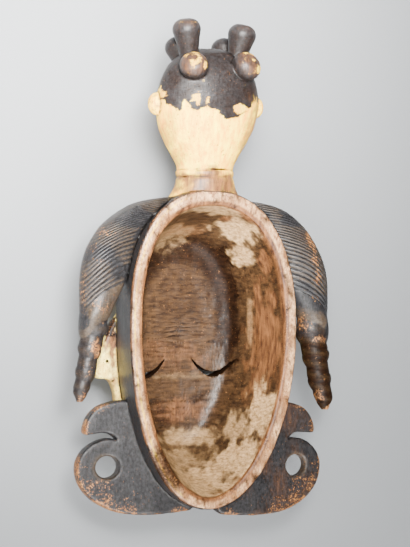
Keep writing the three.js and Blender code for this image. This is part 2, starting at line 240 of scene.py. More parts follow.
face = {
    "nose": [(186, 8, 111), (164, 8, 114), (140, 10, 119), (116, 15, 125), (105, 15.5, 125), (97, 11, 111)],
    "noseBack": 104,
    "nostril": ((15, 107, 107), (9, 10, 11)),
    "lid": ((41, 149, 105.5), (27, 16, 10)),
    "lips": [
        [(31, 69, 102, 1.5), (15.5, 75.5, 111, 6), (0, 74.5, 112, 7.5)],
        [(31, 69, 102, 1.5), (15.5, 62.5, 110, 6.4), (0, 61, 111, 8)],
    ],
    "brow": [(8, 170), (45, 214), (84, 160)], "browRadius": 4.6, "browFade": 5, "lipFade": 4, "blend": 1.8,
    "slit": {"inner": (16, 155), "bend": (41, 121.5), "outer": (62, 154), "width": 4.6, "taper": 0.12,
             "flare": 0.45, "flareDepths": (92, 112), "reach": (70, 130)},
}


# The mask isn't quite straight: towards the chin and the crown it swings a little to the left.
def lean(y):
    return -bowl["chinLean"] * ((y - bowl["midY"]) / bowl["rim"]["down"]) ** 2


# Points of an egg shape at angles round its middle, at a share of its size.
def eggPoint(egg, angle, share):
    cos, sin = np.cos(angle), np.sin(angle)
    power = 2 / np.where(sin > 0, egg["upPower"], egg["downPower"])
    x = egg["half"] * share * np.sign(cos) * np.abs(cos) ** power
    reach = np.where(sin > 0, egg["up"], egg["down"])
    return x, bowl["midY"] + reach * share * np.sign(sin) * np.abs(sin) ** power


# How far the outside of the mask stands in front of the rim, without the features of the face.
def outsideDepth(share, x, y):
    rise = sum(f[4] * np.exp(-(((x - f[0]) / f[2]) ** 2) - ((y - f[1]) / f[3]) ** 2) for f in bowl["forms"])
    plain = bowl["depth"] * np.maximum(0, 1 - share ** bowl["power"]) ** (1 / bowl["power"])
    return plain + rise * (1 - smooth(*bowl["fade"], share))


# The depth of a form beside its own outline, where it mustn't count.
nowhere = -1e3


# The larger of two depths, with a soft inside corner where they meet.
def softMax(a, b, width):
    h = np.clip(0.5 + 0.5 * (b - a) / width, 0, 1)
    return a * (1 - h) + b * h + width * h * (1 - h)


# How far a nose falls away from its ridge, in shares of its height, over shares of its half width.
noseFall = {"across": [0, 0.25, 0.5, 0.75, 0.92, 1.05, 1.25, 1.4],
            "drop": [0, 0.02, 0.1, 0.3, 0.6, 1, 2.4, 4]}


def noseDepth(x, y, sections, back):
    line = curveAt(sections, np.linspace(0, 1, 80))[::-1]
    half = np.interp(y, line[:, 0], line[:, 1])
    out = np.interp(y, line[:, 0], line[:, 2])
    across = np.abs(x) / half
    drop = np.interp(across, noseFall["across"], noseFall["drop"])
    inside = (y > line[0, 0]) & (y < line[-1, 0]) & (across < noseFall["across"][-1])
    return np.where(inside, out - (out - back) * drop, nowhere)


def ballDepth(x, y, at, size):
    away = ((np.abs(x) - at[0]) / size[0]) ** 2 + ((y - at[1]) / size[1]) ** 2
    return np.where(away < 1, at[2] + size[2] * np.sqrt(np.maximum(0, 1 - away)), nowhere)


def lipLine(x, half):
    line = curveAt(half, np.linspace(0, 1, 60))[::-1]
    return (np.interp(np.abs(x), line[:, 0], line[:, k]) for k in (1, 2, 3))


def lipDepth(x, y, half):
    middle, depth, radius = lipLine(x, half)
    away = np.abs(y - middle) / radius
    inside = (away < 1) & (np.abs(x) < half[0][0])
    return np.where(inside, depth + radius * dome(away), nowhere)


def lipPaint(x, y, half):
    middle, _, radius = lipLine(x, half)
    away = np.hypot(y - middle, np.maximum(0, np.abs(x) - half[0][0]))
    return np.clip(0.5 + (radius - away) / face["lipFade"], 0, 1)


# How far each point is from an arc and its mirror image, and where along the arc it is nearest.
def awayFromArc(x, y, arc):
    path = bezier(*arc, np.linspace(0, 1, 60))
    away = np.hypot(np.abs(x)[..., None] - path[:, 0], y[..., None] - path[:, 1])
    return away.min(-1), away.argmin(-1) / (len(path) - 1)


# How strongly a brushed line covers each point: fully along its middle, by half at its edge.
def brushed(x, y, arc, half, fade):
    return np.clip(0.5 + (half - awayFromArc(x, y, arc)[0]) / fade, 0, 1)


def browDepth(x, y, surface):
    away, along = awayFromArc(x, y, face["brow"])
    radius = face["browRadius"] * (1 - 0.5 * smooth(0.75, 1, along))
    away = away / radius
    return np.where(away < 1, surface - 1 + radius * dome(away), nowhere)


def faceFeatures(x, y, surface):
    whole = surface
    near = [
        noseDepth(x, y, face["nose"], face["noseBack"]), ballDepth(x, y, *face["nostril"]),
        ballDepth(x, y, *face["lid"]), *(lipDepth(x, y, half) for half in face["lips"]),
        browDepth(x, y, surface),
    ]
    for depth in near:
        whole = softMax(whole, depth, face["blend"])
    return whole


def makeBowl():
    angle = turns(bowl["around"])
    theta = np.linspace(0, 1, 2000) * math.radians(89.5)
    share = np.sin(theta) ** (2 / bowl["power"])
    depth = bowl["depth"] * np.cos(theta) ** (2 / bowl["power"])
    outReach, inReach = bowl["meanReach"]
    run = wayAlong(np.hypot(np.diff(share * outReach), np.diff(depth)))
    outer = np.interp(np.linspace(0, run[-1], bowl["outerRings"] + 1)[1:], run, share)
    rings, paint = [], {name: [] for name in paintNames}

    def put(x, y, z, **amounts):
        rings.append(np.stack([x + lean(y), y, z], -1))
        for name in paintNames:
            paint[name].append(np.zeros(len(x)) + amounts.get(name, 0.0))

    firstHair, lastHair = bowl["hairShares"]
    for s in outer:
        x, y = eggPoint(bowl["rim"], angle, s)
        out = faceFeatures(x, y, outsideDepth(s, x, y))
        hair = smooth(firstHair - 0.01, firstHair + 0.01, s) * (1 - smooth(lastHair - 0.02, lastHair, s))
        hair = hair * smooth(*bowl["hairFade"], y)
        strand = np.abs(np.sin(angle * bowl["strands"])) ** 0.6
        out = out + hair * (bowl["hairRise"] - bowl["strandCut"] * (1 - strand))
        wall = 1 - smooth(*bowl["blackWall"], out / bowl["depth"])
        brow = brushed(x, y, face["brow"], face["browRadius"], face["browFade"])
        lips = np.max([lipPaint(x, y, half) for half in face["lips"]], axis=0)
        black = np.maximum.reduce([hair, wall, brow])
        put(x, y, -np.minimum(out, restDepth), clay=1.0, soot=black, rust=lips, wear=0.08)
    # A painted highlight in cream along the middle of the rim, stronger on the left where the light falls.
    light = bowl["rimPaintedHighlight"]
    outside, inside = (eggPoint(bowl[name], angle, 1) for name in ("rim", "hollow"))
    for w, depth in curveAt(bowl["rimProfile"], np.linspace(0, 1, bowl["rimRings"]), evenLength=True):
        x, y = (a * (1 - w) + b * w for a, b in zip(outside, inside))
        paintedHighlight = math.exp(-(((w - light["at"]) / light["half"]) ** 2)) * (
            light["least"] + light["more"] * smooth(*light["across"], x))
        put(x, y, np.full(len(x), -max(depth, 0)), rim=1.0, cream=paintedHighlight, wear=0.15,
            soot=0.75 * (1 - smooth(0.02, 0.24, w)), rust=1.1 * smooth(0.5, 0.85, w))
    fine = curveAt(bowl["section"], np.linspace(0, 1, 400))
    run = wayAlong(np.hypot(np.diff(fine[:, 0] * inReach), np.diff(fine[:, 1])))
    even = np.linspace(0, run[-1], bowl["innerRings"] + 1)[1:]
    for s, depth in zip(np.interp(even, run, fine[:, 0]), np.interp(even, run, fine[:, 1])):
        x, y = eggPoint(bowl["hollow"], angle, s)
        put(x, y, np.full(len(x), -depth), hollow=smooth(2, 5, depth), rim=1 - smooth(2, 5, depth),
            rust=0.85 * (1 - smooth(3, 14, depth)), wear=0.04)
    return carveBowl(np.array(rings), {name: np.array(values) for name, values in paint.items()})


# Tool marks: ripples across the floor of the hollow, gouge strokes up its walls, and wear at the rim; then
# paint that darkens the ripple valleys, and painted shade with some grime in the deep corner of the upper
# hollow. The pairs are the depths, or the heights on the mask, over which a mark comes in or fades.
toolMarks = {
    "ripple": 5.4, "rippleDepth": 0.45, "rippleWobble": 2.4, "rippleEnd": (188, 218), "floor": (80, 92),
    "gouge": 6.5, "gougeDepth": 0.3, "gougeWobble": 2.0, "wallReach": 105,
    "wallTop": (4, 20), "wallFoot": (70, 88),
    "uneven": {"hollow": 0.5, "outside": 0.22, "fine": 0.06, "corner": 0.22, "rim": 0.28, "rimNicks": 0.5},
    "corner": (40, 70), "cornerFoot": (94, 97),
    "valley": 0.75, "valleyEnd": (188, 214), "cornerShadeAndGrime": 0.85, "cornerShadeAndGrimeTop": (66, 86), "cornerShadeAndGrimeFoot": (93.5, 96.5),
    "cornerShadeAndGrimeUp": (135, 190),
}


def carveBowl(rings, paint):
    mark, uneven = toolMarks, toolMarks["uneven"]
    inside, up, depth = paint["hollow"], rings[..., 1], -rings[..., 2]
    normal = ringNormals(rings)
    normal *= np.where(normal[..., 2] * np.where(inside > 0, 1, -1) < 0, -1, 1)[..., None]
    floor = inside * smooth(*mark["floor"], depth)
    wall = inside * (1 - smooth(*mark["wallFoot"], depth)) * smooth(*mark["wallTop"], depth)
    wobble = roughNoise(rings, (34, 14, 30), 11) * mark["rippleWobble"]
    wave = np.abs(np.sin(math.pi * (up + wobble) / mark["ripple"])) ** 0.7
    patchy = np.clip(0.75 + 0.5 * roughNoise(rings, (26, 18, 20), 23), 0.15, 1.2)
    patchy *= 1 - 0.8 * smooth(*mark["rippleEnd"], up)
    around = np.arctan2(up - bowl["midY"], rings[..., 0]) * mark["wallReach"]
    wobble = roughNoise(rings, (20, 60, 30), 31) * mark["gougeWobble"]
    stroke = np.abs(np.sin(math.pi * (around + wobble) / mark["gouge"])) ** 0.8
    carved = floor * patchy * mark["rippleDepth"] * (wave - 0.6) * 2
    carved += wall * mark["gougeDepth"] * (stroke - 0.6)
    carved += (inside * uneven["hollow"] * roughNoise(rings, 26, 41)
               + (1 - inside) * uneven["outside"] * roughNoise(rings, 18, 47))
    corner = inside * smooth(*mark["corner"], depth) * (1 - smooth(*mark["cornerFoot"], depth))
    carved += (uneven["fine"] * inside + uneven["corner"] * corner) * roughNoise(rings, (8, 9, 8), 51, 2)
    nicks = uneven["rimNicks"] * smooth(0.45, 0.9, mottle(rings, 7, 59))
    carved += paint["rim"] * (uneven["rim"] * roughNoise(rings, (6, 9, 6), 53) - nicks)
    keep = np.where(inside > 0, 1, smooth(0, 3, restDepth - depth))
    paint = paintBowl(rings, paint)
    valley = mark["valley"] * floor * patchy * smooth(0.25, 0.9, 1 - wave)
    valley *= 1 - smooth(*mark["valleyEnd"], up)
    # Painted shade, with some grime, darkens the deep corner between the floor and the walls up top.
    cornerShadeAndGrime = mark["cornerShadeAndGrime"] * inside * smooth(*mark["cornerShadeAndGrimeTop"], depth)
    cornerShadeAndGrime *= (1 - smooth(*mark["cornerShadeAndGrimeFoot"], depth)) * smooth(*mark["cornerShadeAndGrimeUp"], up)
    paint["stain"] = np.maximum.reduce([paint["stain"], valley, cornerShadeAndGrime])
    moved = rings + normal * (carved * keep)[..., None]
    moved[..., 2] = np.maximum(moved[..., 2], -restDepth)
    return ringBody("bowl", moved, paint)


# What smoke, varnish and hands left on the back, with painted light and shade: x, y, z, the half sizes
# and the strength of each patch.
backPaint = {
    # Stains, and painted shade in the crease along the right edge of the floor and in its top right corner.
    "stain": [
        (44, 262, -84, 19, 42, 38, 1.1), (57, 200, -86, 11, 62, 26, 1.1), (26, 280, -84, 22, 14, 28, 0.7),
        (52, 124, -84, 9, 34, 20, 0.25), (64, 200, -76, 11, 56, 20, 0.45), (-6, 270, -93, 30, 4, 14, 0.6),
        (12, 226, -97, 54, 42, 14, 0.45), (-58, 46, 0, 22, 40, 9, 0.8), (12, 255, -90, 30, 12, 20, 0.4),
        (-62, 190, -70, 10, 90, 40, 0.35), (-2, 84, -92, 46, 4, 14, 0.5),
    ],
    # Milky varnish, painted reflections of the lamps on the chin and upper right, and painted light at upper
    # left.
    "bloom": [
        (42, 293, -36, 27, 24, 34, 1.05), (54, 270, -48, 13, 24, 26, 0.85), (8, 70, -86, 58, 12, 32, 0.52),
        (48, 82, -48, 22, 20, 30, 0.6), (64, 100, -20, 20, 38, 32, 1.1), (36, 48, -20, 36, 38, 34, 1.2),
        (0, 24, -26, 60, 36, 50, 0.95), (-6, 50, -60, 46, 22, 40, 0.5), (70, 196, -60, 5, 50, 9, 0.3),
        (5, 136, -97, 50, 5, 12, 0.2), (-24, 290, -70, 46, 24, 32, 0.34), (0, 318, -10, 70, 10, 26, 0.6),
    ],
    "rust": [
        (26, 307, -27, 9, 9, 14, 0.9), (57, 271, -47, 8, 8, 10, 0.9), (67, 262, -20, 8, 20, 16, 0.9),
        (76, 176, -38, 18, 80, 40, 1.0), (0, 97, -93, 50, 16, 14, 0.6), (-12, 292, -76, 40, 22, 38, 0.7),
        (66, 120, -30, 16, 46, 34, 0.8), (-10, 160, -97, 60, 20, 12, 0.35),
    ],
    "wear": [
        (-86, 230, 0, 7, 80, 12, 0.45), (-60, 300, 0, 20, 20, 12, 0.4), (-72, 110, 0, 9, 40, 12, 0.3),
        (20, 14, 0, 30, 9, 12, 0.5), (60, 60, 0, 12, 20, 12, 0.4), (84, 160, 0, 8, 70, 12, 0.35),
    ],
}


# Between the patches: streaks along the ripples, runs down the walls, spots, the rim's speckle and warmth.
backMottle = {
    "streaks": 0.62, "streakFloor": (70, 92), "streakEnd": (188, 220), "runs": 0.4, "runFoot": (60, 85),
    "spots": 0.3, "speckle": 0.75, "rimWarm": 0.36, "rimWarmer": 0.45,
}


def paintBowl(rings, paint):
    inside, rim, depth, tone = paint["hollow"], paint["rim"], -rings[..., 2], backMottle
    laid = {name: patches(rings, strokes, 0.4, 17) for name, strokes in backPaint.items()}
    streaks = mottle(rings, (24, 3.4, 40), 19) + 0.5 * mottle(rings, (11, 2.6, 30), 29)
    streaks = smooth(0.15, 0.75, streaks) * (inside * smooth(*tone["streakFloor"], depth)) * (
        1 - smooth(*tone["streakEnd"], rings[..., 1]))
    runs = smooth(0.2, 0.8, mottle(rings, (40, 46, 7), 37) + 0.4 * mottle(rings, (14, 60, 4), 39))
    runs = runs * inside * (1 - smooth(*tone["runFoot"], depth))
    spots = smooth(0.3, 0.8, mottle(rings, 7.5, 43)) * inside
    speckle = smooth(0.15, 0.7, mottle(rings, (4.5, 6, 4.5), 45)) * rim
    paint["stain"] = np.maximum.reduce([
        laid["stain"] * inside, laid["stain"] * rim, streaks * tone["streaks"], runs * tone["runs"],
        spots * tone["spots"], speckle * tone["speckle"]])
    paint["bloom"] = laid["bloom"] * inside
    warm = rim * (tone["rimWarm"] + tone["rimWarmer"] * mottle(rings, (9, 16, 9), 49))
    paint["rust"] = np.maximum(paint["rust"], np.clip(np.maximum(laid["rust"] * inside, warm), 0, 1))
    paint["wear"] = np.maximum(paint["wear"], laid["wear"] * (rim > 0.3))
    return paint


def eyeSlit(sign):
    slit = face["slit"]
    shares = np.linspace(0, 1, 15)
    arc = bezier(slit["inner"], slit["bend"], slit["outer"], shares)
    gap = slit["width"] / 2 * np.sin(math.pi * (slit["taper"] + (1 - 2 * slit["taper"]) * shares))
    rings = []
    for z in np.linspace(*slit["reach"], 25):
        wide = gap * (1 + slit["flare"] * (1 - smooth(*slit["flareDepths"], z)))
        below, above = arc - np.stack([0 * gap, wide], -1), arc + np.stack([0 * gap, gap], -1)
        outline = np.concatenate([below, above[::-1]]) * np.array([sign, 1])
        rings.append(np.column_stack([outline, np.full(len(outline), -z)]))
    # The walls of the slits are painted dark: painted shade inside the slits.
    return ringBody("slit", np.array(rings), {"hollow": 0.6, "stain": 1.0})


# The braids and their twisted ends
braid = {
    "inner": [(32, 330), (57, 309), (73, 295), (83, 278), (88, 260), (92, 243), (104, 226)],
    "outer": [(90, 320), (119, 299.5), (135, 277), (141.5, 259), (144, 243), (144.7, 226), (144, 207)],
    "knot": [(107, 215, 145, 198, 17), (112, 204, 145.3, 189, 15), (117.5, 196, 144, 182, 12),
             (121, 188, 141, 176, 8), (124, 182, 137, 172, 3)],
    "innerEnd": 0.88, "innerLag": 0.09,
    "grooves": 25, "grooveDepth": 2.3, "bend": (0.6, 0.12), "border": (0.9, 0.95), "depth": 23,
    "thick": 19, "edge": 2, "roundTo": 0.16, "thinFrom": 0.6, "thinBy": 0.18, "around": 42, "perGroove": 8,
    "wander": 0.22, "borderCut": 0.5,
}
tip = {
    "centre": [(127, 208), (130, 187), (134, 168), (137.5, 149), (142.5, 130), (145, 116)],
    "radius": [12.5, 13, 11, 10, 8.7, 3],
    "swellings": 4, "swell": 0.16, "slant": 0.12, "twist": 1.3, "plainFrom": 0.85, "flatness": 0.95,
    "rings": 64, "around": 28,
}
# The two halves aren't quite alike; "worn" is where hands have worn the braid down to orange wood. The
# twisted ends are dulled, the right one with painted shade, and the right wing carries painted shade too.
sides = [
    {"sign": -1, "topDrop": 0, "braidDrop": 0, "tipDrop": 0, "tipGirth": 1, "tipIn": 0, "mattAndShade": 0.4,
     "wingDrop": -3, "wingIn": 2.5, "wingBrown": 0, "wingBrowner": 0, "wingShade": 0,
     "worn": [(-122, 292, 12, 8, 0.5), (-134, 268, 6, 14, 0.5), (-126, 214, 12, 8, 0.45),
              (-130, 172, 8, 12, 0.7), (-144, 122, 7, 8, 0.4), (-136, 148, 7, 8, 0.4),
              (-143, 226, 4, 30, 0.4)]},
    {"sign": 1, "topDrop": 3, "braidDrop": 9, "tipDrop": 16, "tipGirth": 1.2, "tipIn": 2.5, "mattAndShade": 1.1,
     "wingDrop": 3.5, "wingIn": 0, "wingBrown": 0.17, "wingBrowner": 0.3, "wingShade": 0.1,
     "worn": [(116, 286, 5, 12, 1.0), (121, 268, 6, 16, 1.0), (125, 246, 5, 14, 0.8),
              (112, 196, 8, 14, 0.5), (129, 176, 12, 5, 0.6), (131, 118, 7, 9, 0.5),
              (146, 96, 6, 10, 0.8), (120, 222, 10, 6, 0.4)]},
]


def makeBraid(side):
    steps = braid["grooves"] * braid["perGroove"]
    share = np.linspace(0, 1, steps + 1)
    lag = share * braid["innerEnd"] - braid["innerLag"] * np.sin(math.pi * share)
    start = curveAt(braid["inner"], lag, evenLength=True)
    end = curveAt(braid["outer"], share, evenLength=True)
    rounded = dome(1 - np.minimum(1, share / braid["roundTo"]))
    thick = braid["edge"] + (braid["thick"] - braid["edge"]) * rounded * (
        1 - braid["thinBy"] * smooth(braid["thinFrom"], 1, share))
    last = np.concatenate([start[-1], end[-1], thick[-1:]])
    knot = curveAt([last, *braid["knot"]], np.linspace(0, 1, 25))[1:]
    start, end = np.vstack([start, knot[:, :2]]), np.vstack([end, knot[:, 2:4]])
    thick = np.concatenate([thick, knot[:, 4]])
    phase = np.concatenate([share * braid["grooves"], np.full(len(knot), float(braid["grooves"]))])
    angle = turns(braid["around"])
    across = (1 - np.cos(angle)) / 2
    middle = start + (end - start) * np.array(braid["bend"])
    line = bezier(start[:, None], middle[:, None], end[:, None], across[None, :])
    wander = mottle(np.dstack([line, 0 * line[..., :1]]), 22, 61) * braid["wander"]
    u = 2 * np.abs((phase[:, None] + wander) % 1 - 0.5)
    cut = 1 - dome(1 - u)
    cut *= (1 - smooth(*braid["border"], across))[None, :] * smooth(0, 0.5, phase)[:, None]
    cut *= 1 - smooth(braid["grooves"] - 1.2, braid["grooves"], phase)[:, None]
    border = smooth(*braid["border"], across) * braid["borderCut"]
    high = (thick[:, None] - braid["grooveDepth"] * cut - border) * np.sin(angle)
    drop = side["topDrop"] + (side["braidDrop"] - side["topDrop"]) * smooth(0, braid["grooves"] * 0.5, phase)
    x, y = line[..., 0], line[..., 1] - drop[:, None]
    rings = np.dstack([side["sign"] * x, y, high - braid["depth"]])
    worn = patches(rings, side["worn"], 0.5, 67) * (0.35 + 0.65 * u)
    # Dust and a painted sheen along the ridges of the strands.
    ridgeDustAndSheen = 0.35 * u * (mottle(rings, 18, 73) > -0.2)
    return ringBody("braid", rings, {"soot": 1.0, "wear": worn * 0.8, "bloom": ridgeDustAndSheen * 0.5})


def makeTip(side):
    share = np.linspace(0, 1, tip["rings"])
    centre = curveAt(tip["centre"], share)
    radius = np.interp(share, np.linspace(0, 1, len(tip["radius"])), tip["radius"]) * side["tipGirth"]
    angle = turns(tip["around"])
    wave = np.cos(2 * math.pi * (tip["swellings"] * share[:, None] + tip["slant"] * np.cos(angle)))
    plain = (1 - smooth(tip["plainFrom"], 1, share))[:, None]
    reach = radius[:, None] * (1 + tip["swell"] * (0.5 - 0.5 * wave) * plain)
    spiral = tip["swellings"] * 2 * share[:, None] + angle / (2 * math.pi) * side["sign"]
    u = 2 * np.abs(spiral % 1 - 0.5)
    reach -= tip["twist"] * (1 - dome(1 - u)) * plain
    drop = side["braidDrop"] + (side["tipDrop"] - side["braidDrop"]) * share
    x = centre[:, :1] - side["tipIn"] + reach * np.cos(angle)
    y = np.broadcast_to((centre[:, 1] - drop)[:, None], x.shape)
    rings = np.dstack([side["sign"] * x, y, reach * tip["flatness"] * np.sin(angle) - braid["depth"]])
    worn = patches(rings, side["worn"], 0.5, 71)
    worn = np.maximum(worn, 0.25 * smooth(0.9, 1, share)[:, None]) * 0.8
    # Dull dark paint down the twisted end, with painted shade over the right one.
    mattAndShade = side["mattAndShade"] * smooth(0, 0.3, share)[:, None] * (1 - worn)
    # A little dust and painted sheen on the ridges of the twist.
    return ringBody("braidEnd", rings, {"soot": 1.0, "wear": worn, "bloom": 0.1 * u, "stain": mattAndShade})


# Flat boards: the scrolled wings and the ears, cut out and rounded at the edge
wing = {
    "outline": [
        (70, 108), (85, 112.5), (100, 112.5), (112, 110), (122, 106), (129.5, 99.5), (134.5, 91),
        (136.8, 81.5), (134.5, 77.5), (127, 78), (117, 79), (109, 77.5), (101.5, 71.5), (110, 73.2),
        (121, 71), (131, 66), (139.5, 57.5), (144.2, 46.5), (144.2, 36), (141, 25.5), (134.5, 15.5),
        (124, 6), (110, -1.5), (95.5, -6), (80, -8), (62, -8.6), (45, -7.8), (30, -6.6), (18, -4.2),
        (15, 4), (34, 24), (56, 60), (66, 90),
    ],
    "hole": (112, 43, 12.6, 11.6), "middle": 32, "half": 7, "edge": 3, "round": 3.2,
    "sweep": 0.13, "sweepFrom": 60, "step": 3.4, "spacing": 2.2, "holePoints": 34, "uneven": 0.35,
    "holeDust": 0.14, "holeDustTo": (13, 17),
    "worn": [
        (134, 18, 14, 24, 0.5), (122, 5, 22, 9, 0.6), (98, -3, 26, 5, 0.5), (142, 42, 5, 22, 0.45),
        (60, -9, 26, 4, 0.5), (134, 86, 7, 12, 0.5), (120, 106, 14, 6, 0.4), (112, 18, 18, 14, 0.32),
        (92, 6, 26, 9, 0.3), (30, -5, 12, 4, 0.5),
    ],
}
ear = {
    "outline": [
        (80, 202), (92, 200), (101, 184), (107, 166), (112, 150), (114, 142.5), (110, 137.8), (100, 136.5),
        (95, 131), (92, 122), (90, 112), (80, 106),
    ],
    "middle": 60.5, "half": 6.5, "edge": 3.5, "round": 3.6, "step": 3.0, "spacing": 2.0, "uneven": 0.4,
    "smoked": [(95, 193, 8, 15, 1.3)],
    "browned": [(96, 168, 7, 30, 1.0), (97, 122, 9, 9, 0.6), (94, 140, 6, 34, 0.6)],
    "holes": [(-101.5, 156, 1.5), (-95.2, 135, 1.1)], "holeDepth": 5, "holePoints": 14,
}


# The outline of a board, as evenly spaced points.
def closedCurve(shape):
    points = np.array(shape["outline"], float)
    ring = np.vstack([points[-1:], points, points[:2]])
    line = curveAt(ring, np.linspace(1, len(points) + 1, 40 * len(points)) / (len(ring) - 1))
    run = wayAlong(np.linalg.norm(np.diff(line, axis=0), axis=1))
    at = np.linspace(0, run[-1], int(run[-1] / shape["spacing"]) + 1)[:-1]
    return np.column_stack([np.interp(at, run, line[:, 0]), np.interp(at, run, line[:, 1])])


# Which points lie inside the loops, and how far each point is from the nearest of them.
def insideOf(loops, points):
    odd = np.zeros(len(points), bool)
    for loop in loops:
        a, b = loop, np.roll(loop, -1, axis=0)
        for p, q in zip(a, b):
            crosses = (p[1] > points[:, 1]) != (q[1] > points[:, 1])
            level = np.where(q[1] == p[1], 1e-9, q[1] - p[1])
            odd ^= crosses & (points[:, 0] < (q[0] - p[0]) * (points[:, 1] - p[1]) / level + p[0])
    return odd


def awayFrom(loops, points):
    best = np.full(len(points), 1e9)
    for loop in loops:
        a, b = loop, np.roll(loop, -1, axis=0)
        for p, q in zip(a, b):
            way = q - p
            t = np.clip(((points - p) @ way) / (way @ way), 0, 1)
            best = np.minimum(best, np.linalg.norm(points - p - t[:, None] * way, axis=1))
    return best


# Points in a board's faces: rows beside its edge, in mm from it, so that the rounding has enough of them,
# and an even grid of triangles in between, its rows this share of a step apart.
edgeRows = (0.35, 1.0, 2.0, 3.2)
gridRow = 0.87


def makeBoard(name, shape, loops, place, paint):
    edge = np.vstack(loops)
    ids, at = [], 0
    for loop in loops:
        k = np.arange(len(loop))
        ids += np.stack([at + k, at + (k + 1) % len(loop)], -1).tolist()
        at += len(loop)
    rings = []
    for inset in edgeRows:
        for loop in loops:
            way = np.roll(loop, -1, axis=0) - np.roll(loop, 1, axis=0)
            side = np.stack([-way[:, 1], way[:, 0]], -1) / np.linalg.norm(way, axis=1, keepdims=True)
            for sign in (1, -1):
                offset = loop + side * inset * sign
                good = insideOf(loops, offset) & (awayFrom(loops, offset) > inset * 0.93)
                rings.append(offset[good])
    low, high, step = edge.min(0), edge.max(0), shape["step"]
    gx, gy = np.meshgrid(np.arange(low[0], high[0], step), np.arange(low[1], high[1], step * gridRow))
    gx = gx + (np.arange(len(gx)) % 2 * step / 2)[:, None]
    grid = np.column_stack([gx.ravel(), gy.ravel()])
    grid = grid[insideOf(loops, grid) & (awayFrom(loops, grid) > edgeRows[-1] + step * 0.5)]
    flat = np.vstack([edge, *rings, grid])
    spots, _, faces, *_ = delaunay_2d_cdt([Vector(p) for p in flat], ids, [], 0, 1e-5)
    spots, faces = np.array([tuple(p) for p in spots]), np.array(faces)
    faces = faces[insideOf(loops, spots[faces].mean(1))]
    away = np.minimum(awayFrom(loops, spots) / shape["round"], 1)
    lift = shape["half"] - shape["edge"] + shape["edge"] * dome(1 - away)
    count = len(spots)
    top, bottom = np.column_stack([spots, lift]), np.column_stack([spots, -lift])
    middle = np.column_stack([spots[:at], np.zeros(at)])
    points = np.vstack([top, bottom, middle])
    a, b, c = (spots[faces[:, k]] for k in range(3))
    turned = (b[:, 0] - a[:, 0]) * (c[:, 1] - a[:, 1]) - (b[:, 1] - a[:, 1]) * (c[:, 0] - a[:, 0]) < 0
    faces[turned] = faces[turned][:, ::-1]
    walls = []
    sidesOf = ((int(p), int(q)) for f in faces for p, q in zip(f, np.roll(f, -1)))
    here = {tuple(sorted(pair)): pair for pair in sidesOf if max(pair) < at}
    for pair in ids:
        p, q = here[tuple(sorted(pair))]
        walls += [(q, p, 2 * count + p, 2 * count + q), (2 * count + q, 2 * count + p, count + p, count + q)]
    skin = faces.tolist() + (faces[:, ::-1] + count).tolist() + walls
    points, mirrored = place(points)
    if mirrored:
        skin = [f[::-1] for f in skin]
    rims = np.concatenate([1 - away, 1 - away, np.ones(at)])
    return makeBody(name, points, skin, paint(points, rims))


def makeWing(side):
    x, y, wide, high = wing["hole"]
    turn = turns(wing["holePoints"])
    hole = np.column_stack([x + wide * np.cos(turn), y + high * np.sin(turn)])

    def place(points):
        p = points + np.array([-side["wingIn"], -side["wingDrop"], -wing["middle"]])
        p[:, 2] -= np.maximum(0, p[:, 0] - wing["sweepFrom"]) * wing["sweep"]
        p[:, 2] += wing["uneven"] * roughNoise(p, 16, 83) * np.sign(points[:, 2])
        p[:, :2] += (roughNoise(p, 7, 89) * wing["uneven"])[:, None] * (np.abs(points[:, 2:]) < 5)
        p[:, 0] *= side["sign"]
        return p, side["sign"] < 0

    def paint(points, rims):
        mirror = points * np.array([side["sign"], 1, 1]) + np.array([0, side["wingDrop"], 0])
        worn = patches(mirror, wing["worn"], 0.6, 103)
        near = np.hypot(mirror[:, 0] - x, mirror[:, 1] - y)
        brown = side["wingBrown"] + side["wingBrowner"] * mottle(points, 22, 151)
        # The right wing is darkened all over: painted shade.
        return {"soot": 1.0, "wear": np.clip(worn * (0.75 + 0.25 * rims) + 0.1 * rims * (near > 16), 0, 1),
                "rust": np.clip(brown, 0, 1), "stain": side["wingShade"],
                "bloom": wing["holeDust"] * (1 - smooth(*wing["holeDustTo"], near))}

    return makeBoard("wing", wing, [closedCurve(wing), hole], place, paint)


def makeEar(side):
    def place(points):
        p = points + np.array([0, 0, -ear["middle"]])
        p[:, 2] += ear["uneven"] * roughNoise(p, 12, 101) * np.sign(points[:, 2])
        p[:, 0] *= side["sign"]
        return p, side["sign"] < 0

    def paint(points, rims):
        mirror = points * np.array([side["sign"], 1, 1])
        return {"clay": 1.0, "wear": 0.2, "stain": patches(mirror, ear["smoked"], 0.5, 103),
                "rust": patches(mirror, ear["browned"], 0.7, 105)}

    return makeBoard("ear", ear, [closedCurve(ear)], place, paint)


# A nail hole in the left ear, as wide as given.
def makeHole(x, y, radius):
    angle, top = turns(ear["holePoints"]), ear["half"] - ear["middle"]
    ring = [x + radius * np.cos(angle), y + radius * np.sin(angle)]
    rings = [np.column_stack([*ring, 0 * angle + top + z]) for z in np.linspace(-ear["holeDepth"], 3, 5)]
    return ringBody("nailHole", np.array(rings), {"clay": 1.0, "stain": 1.2})


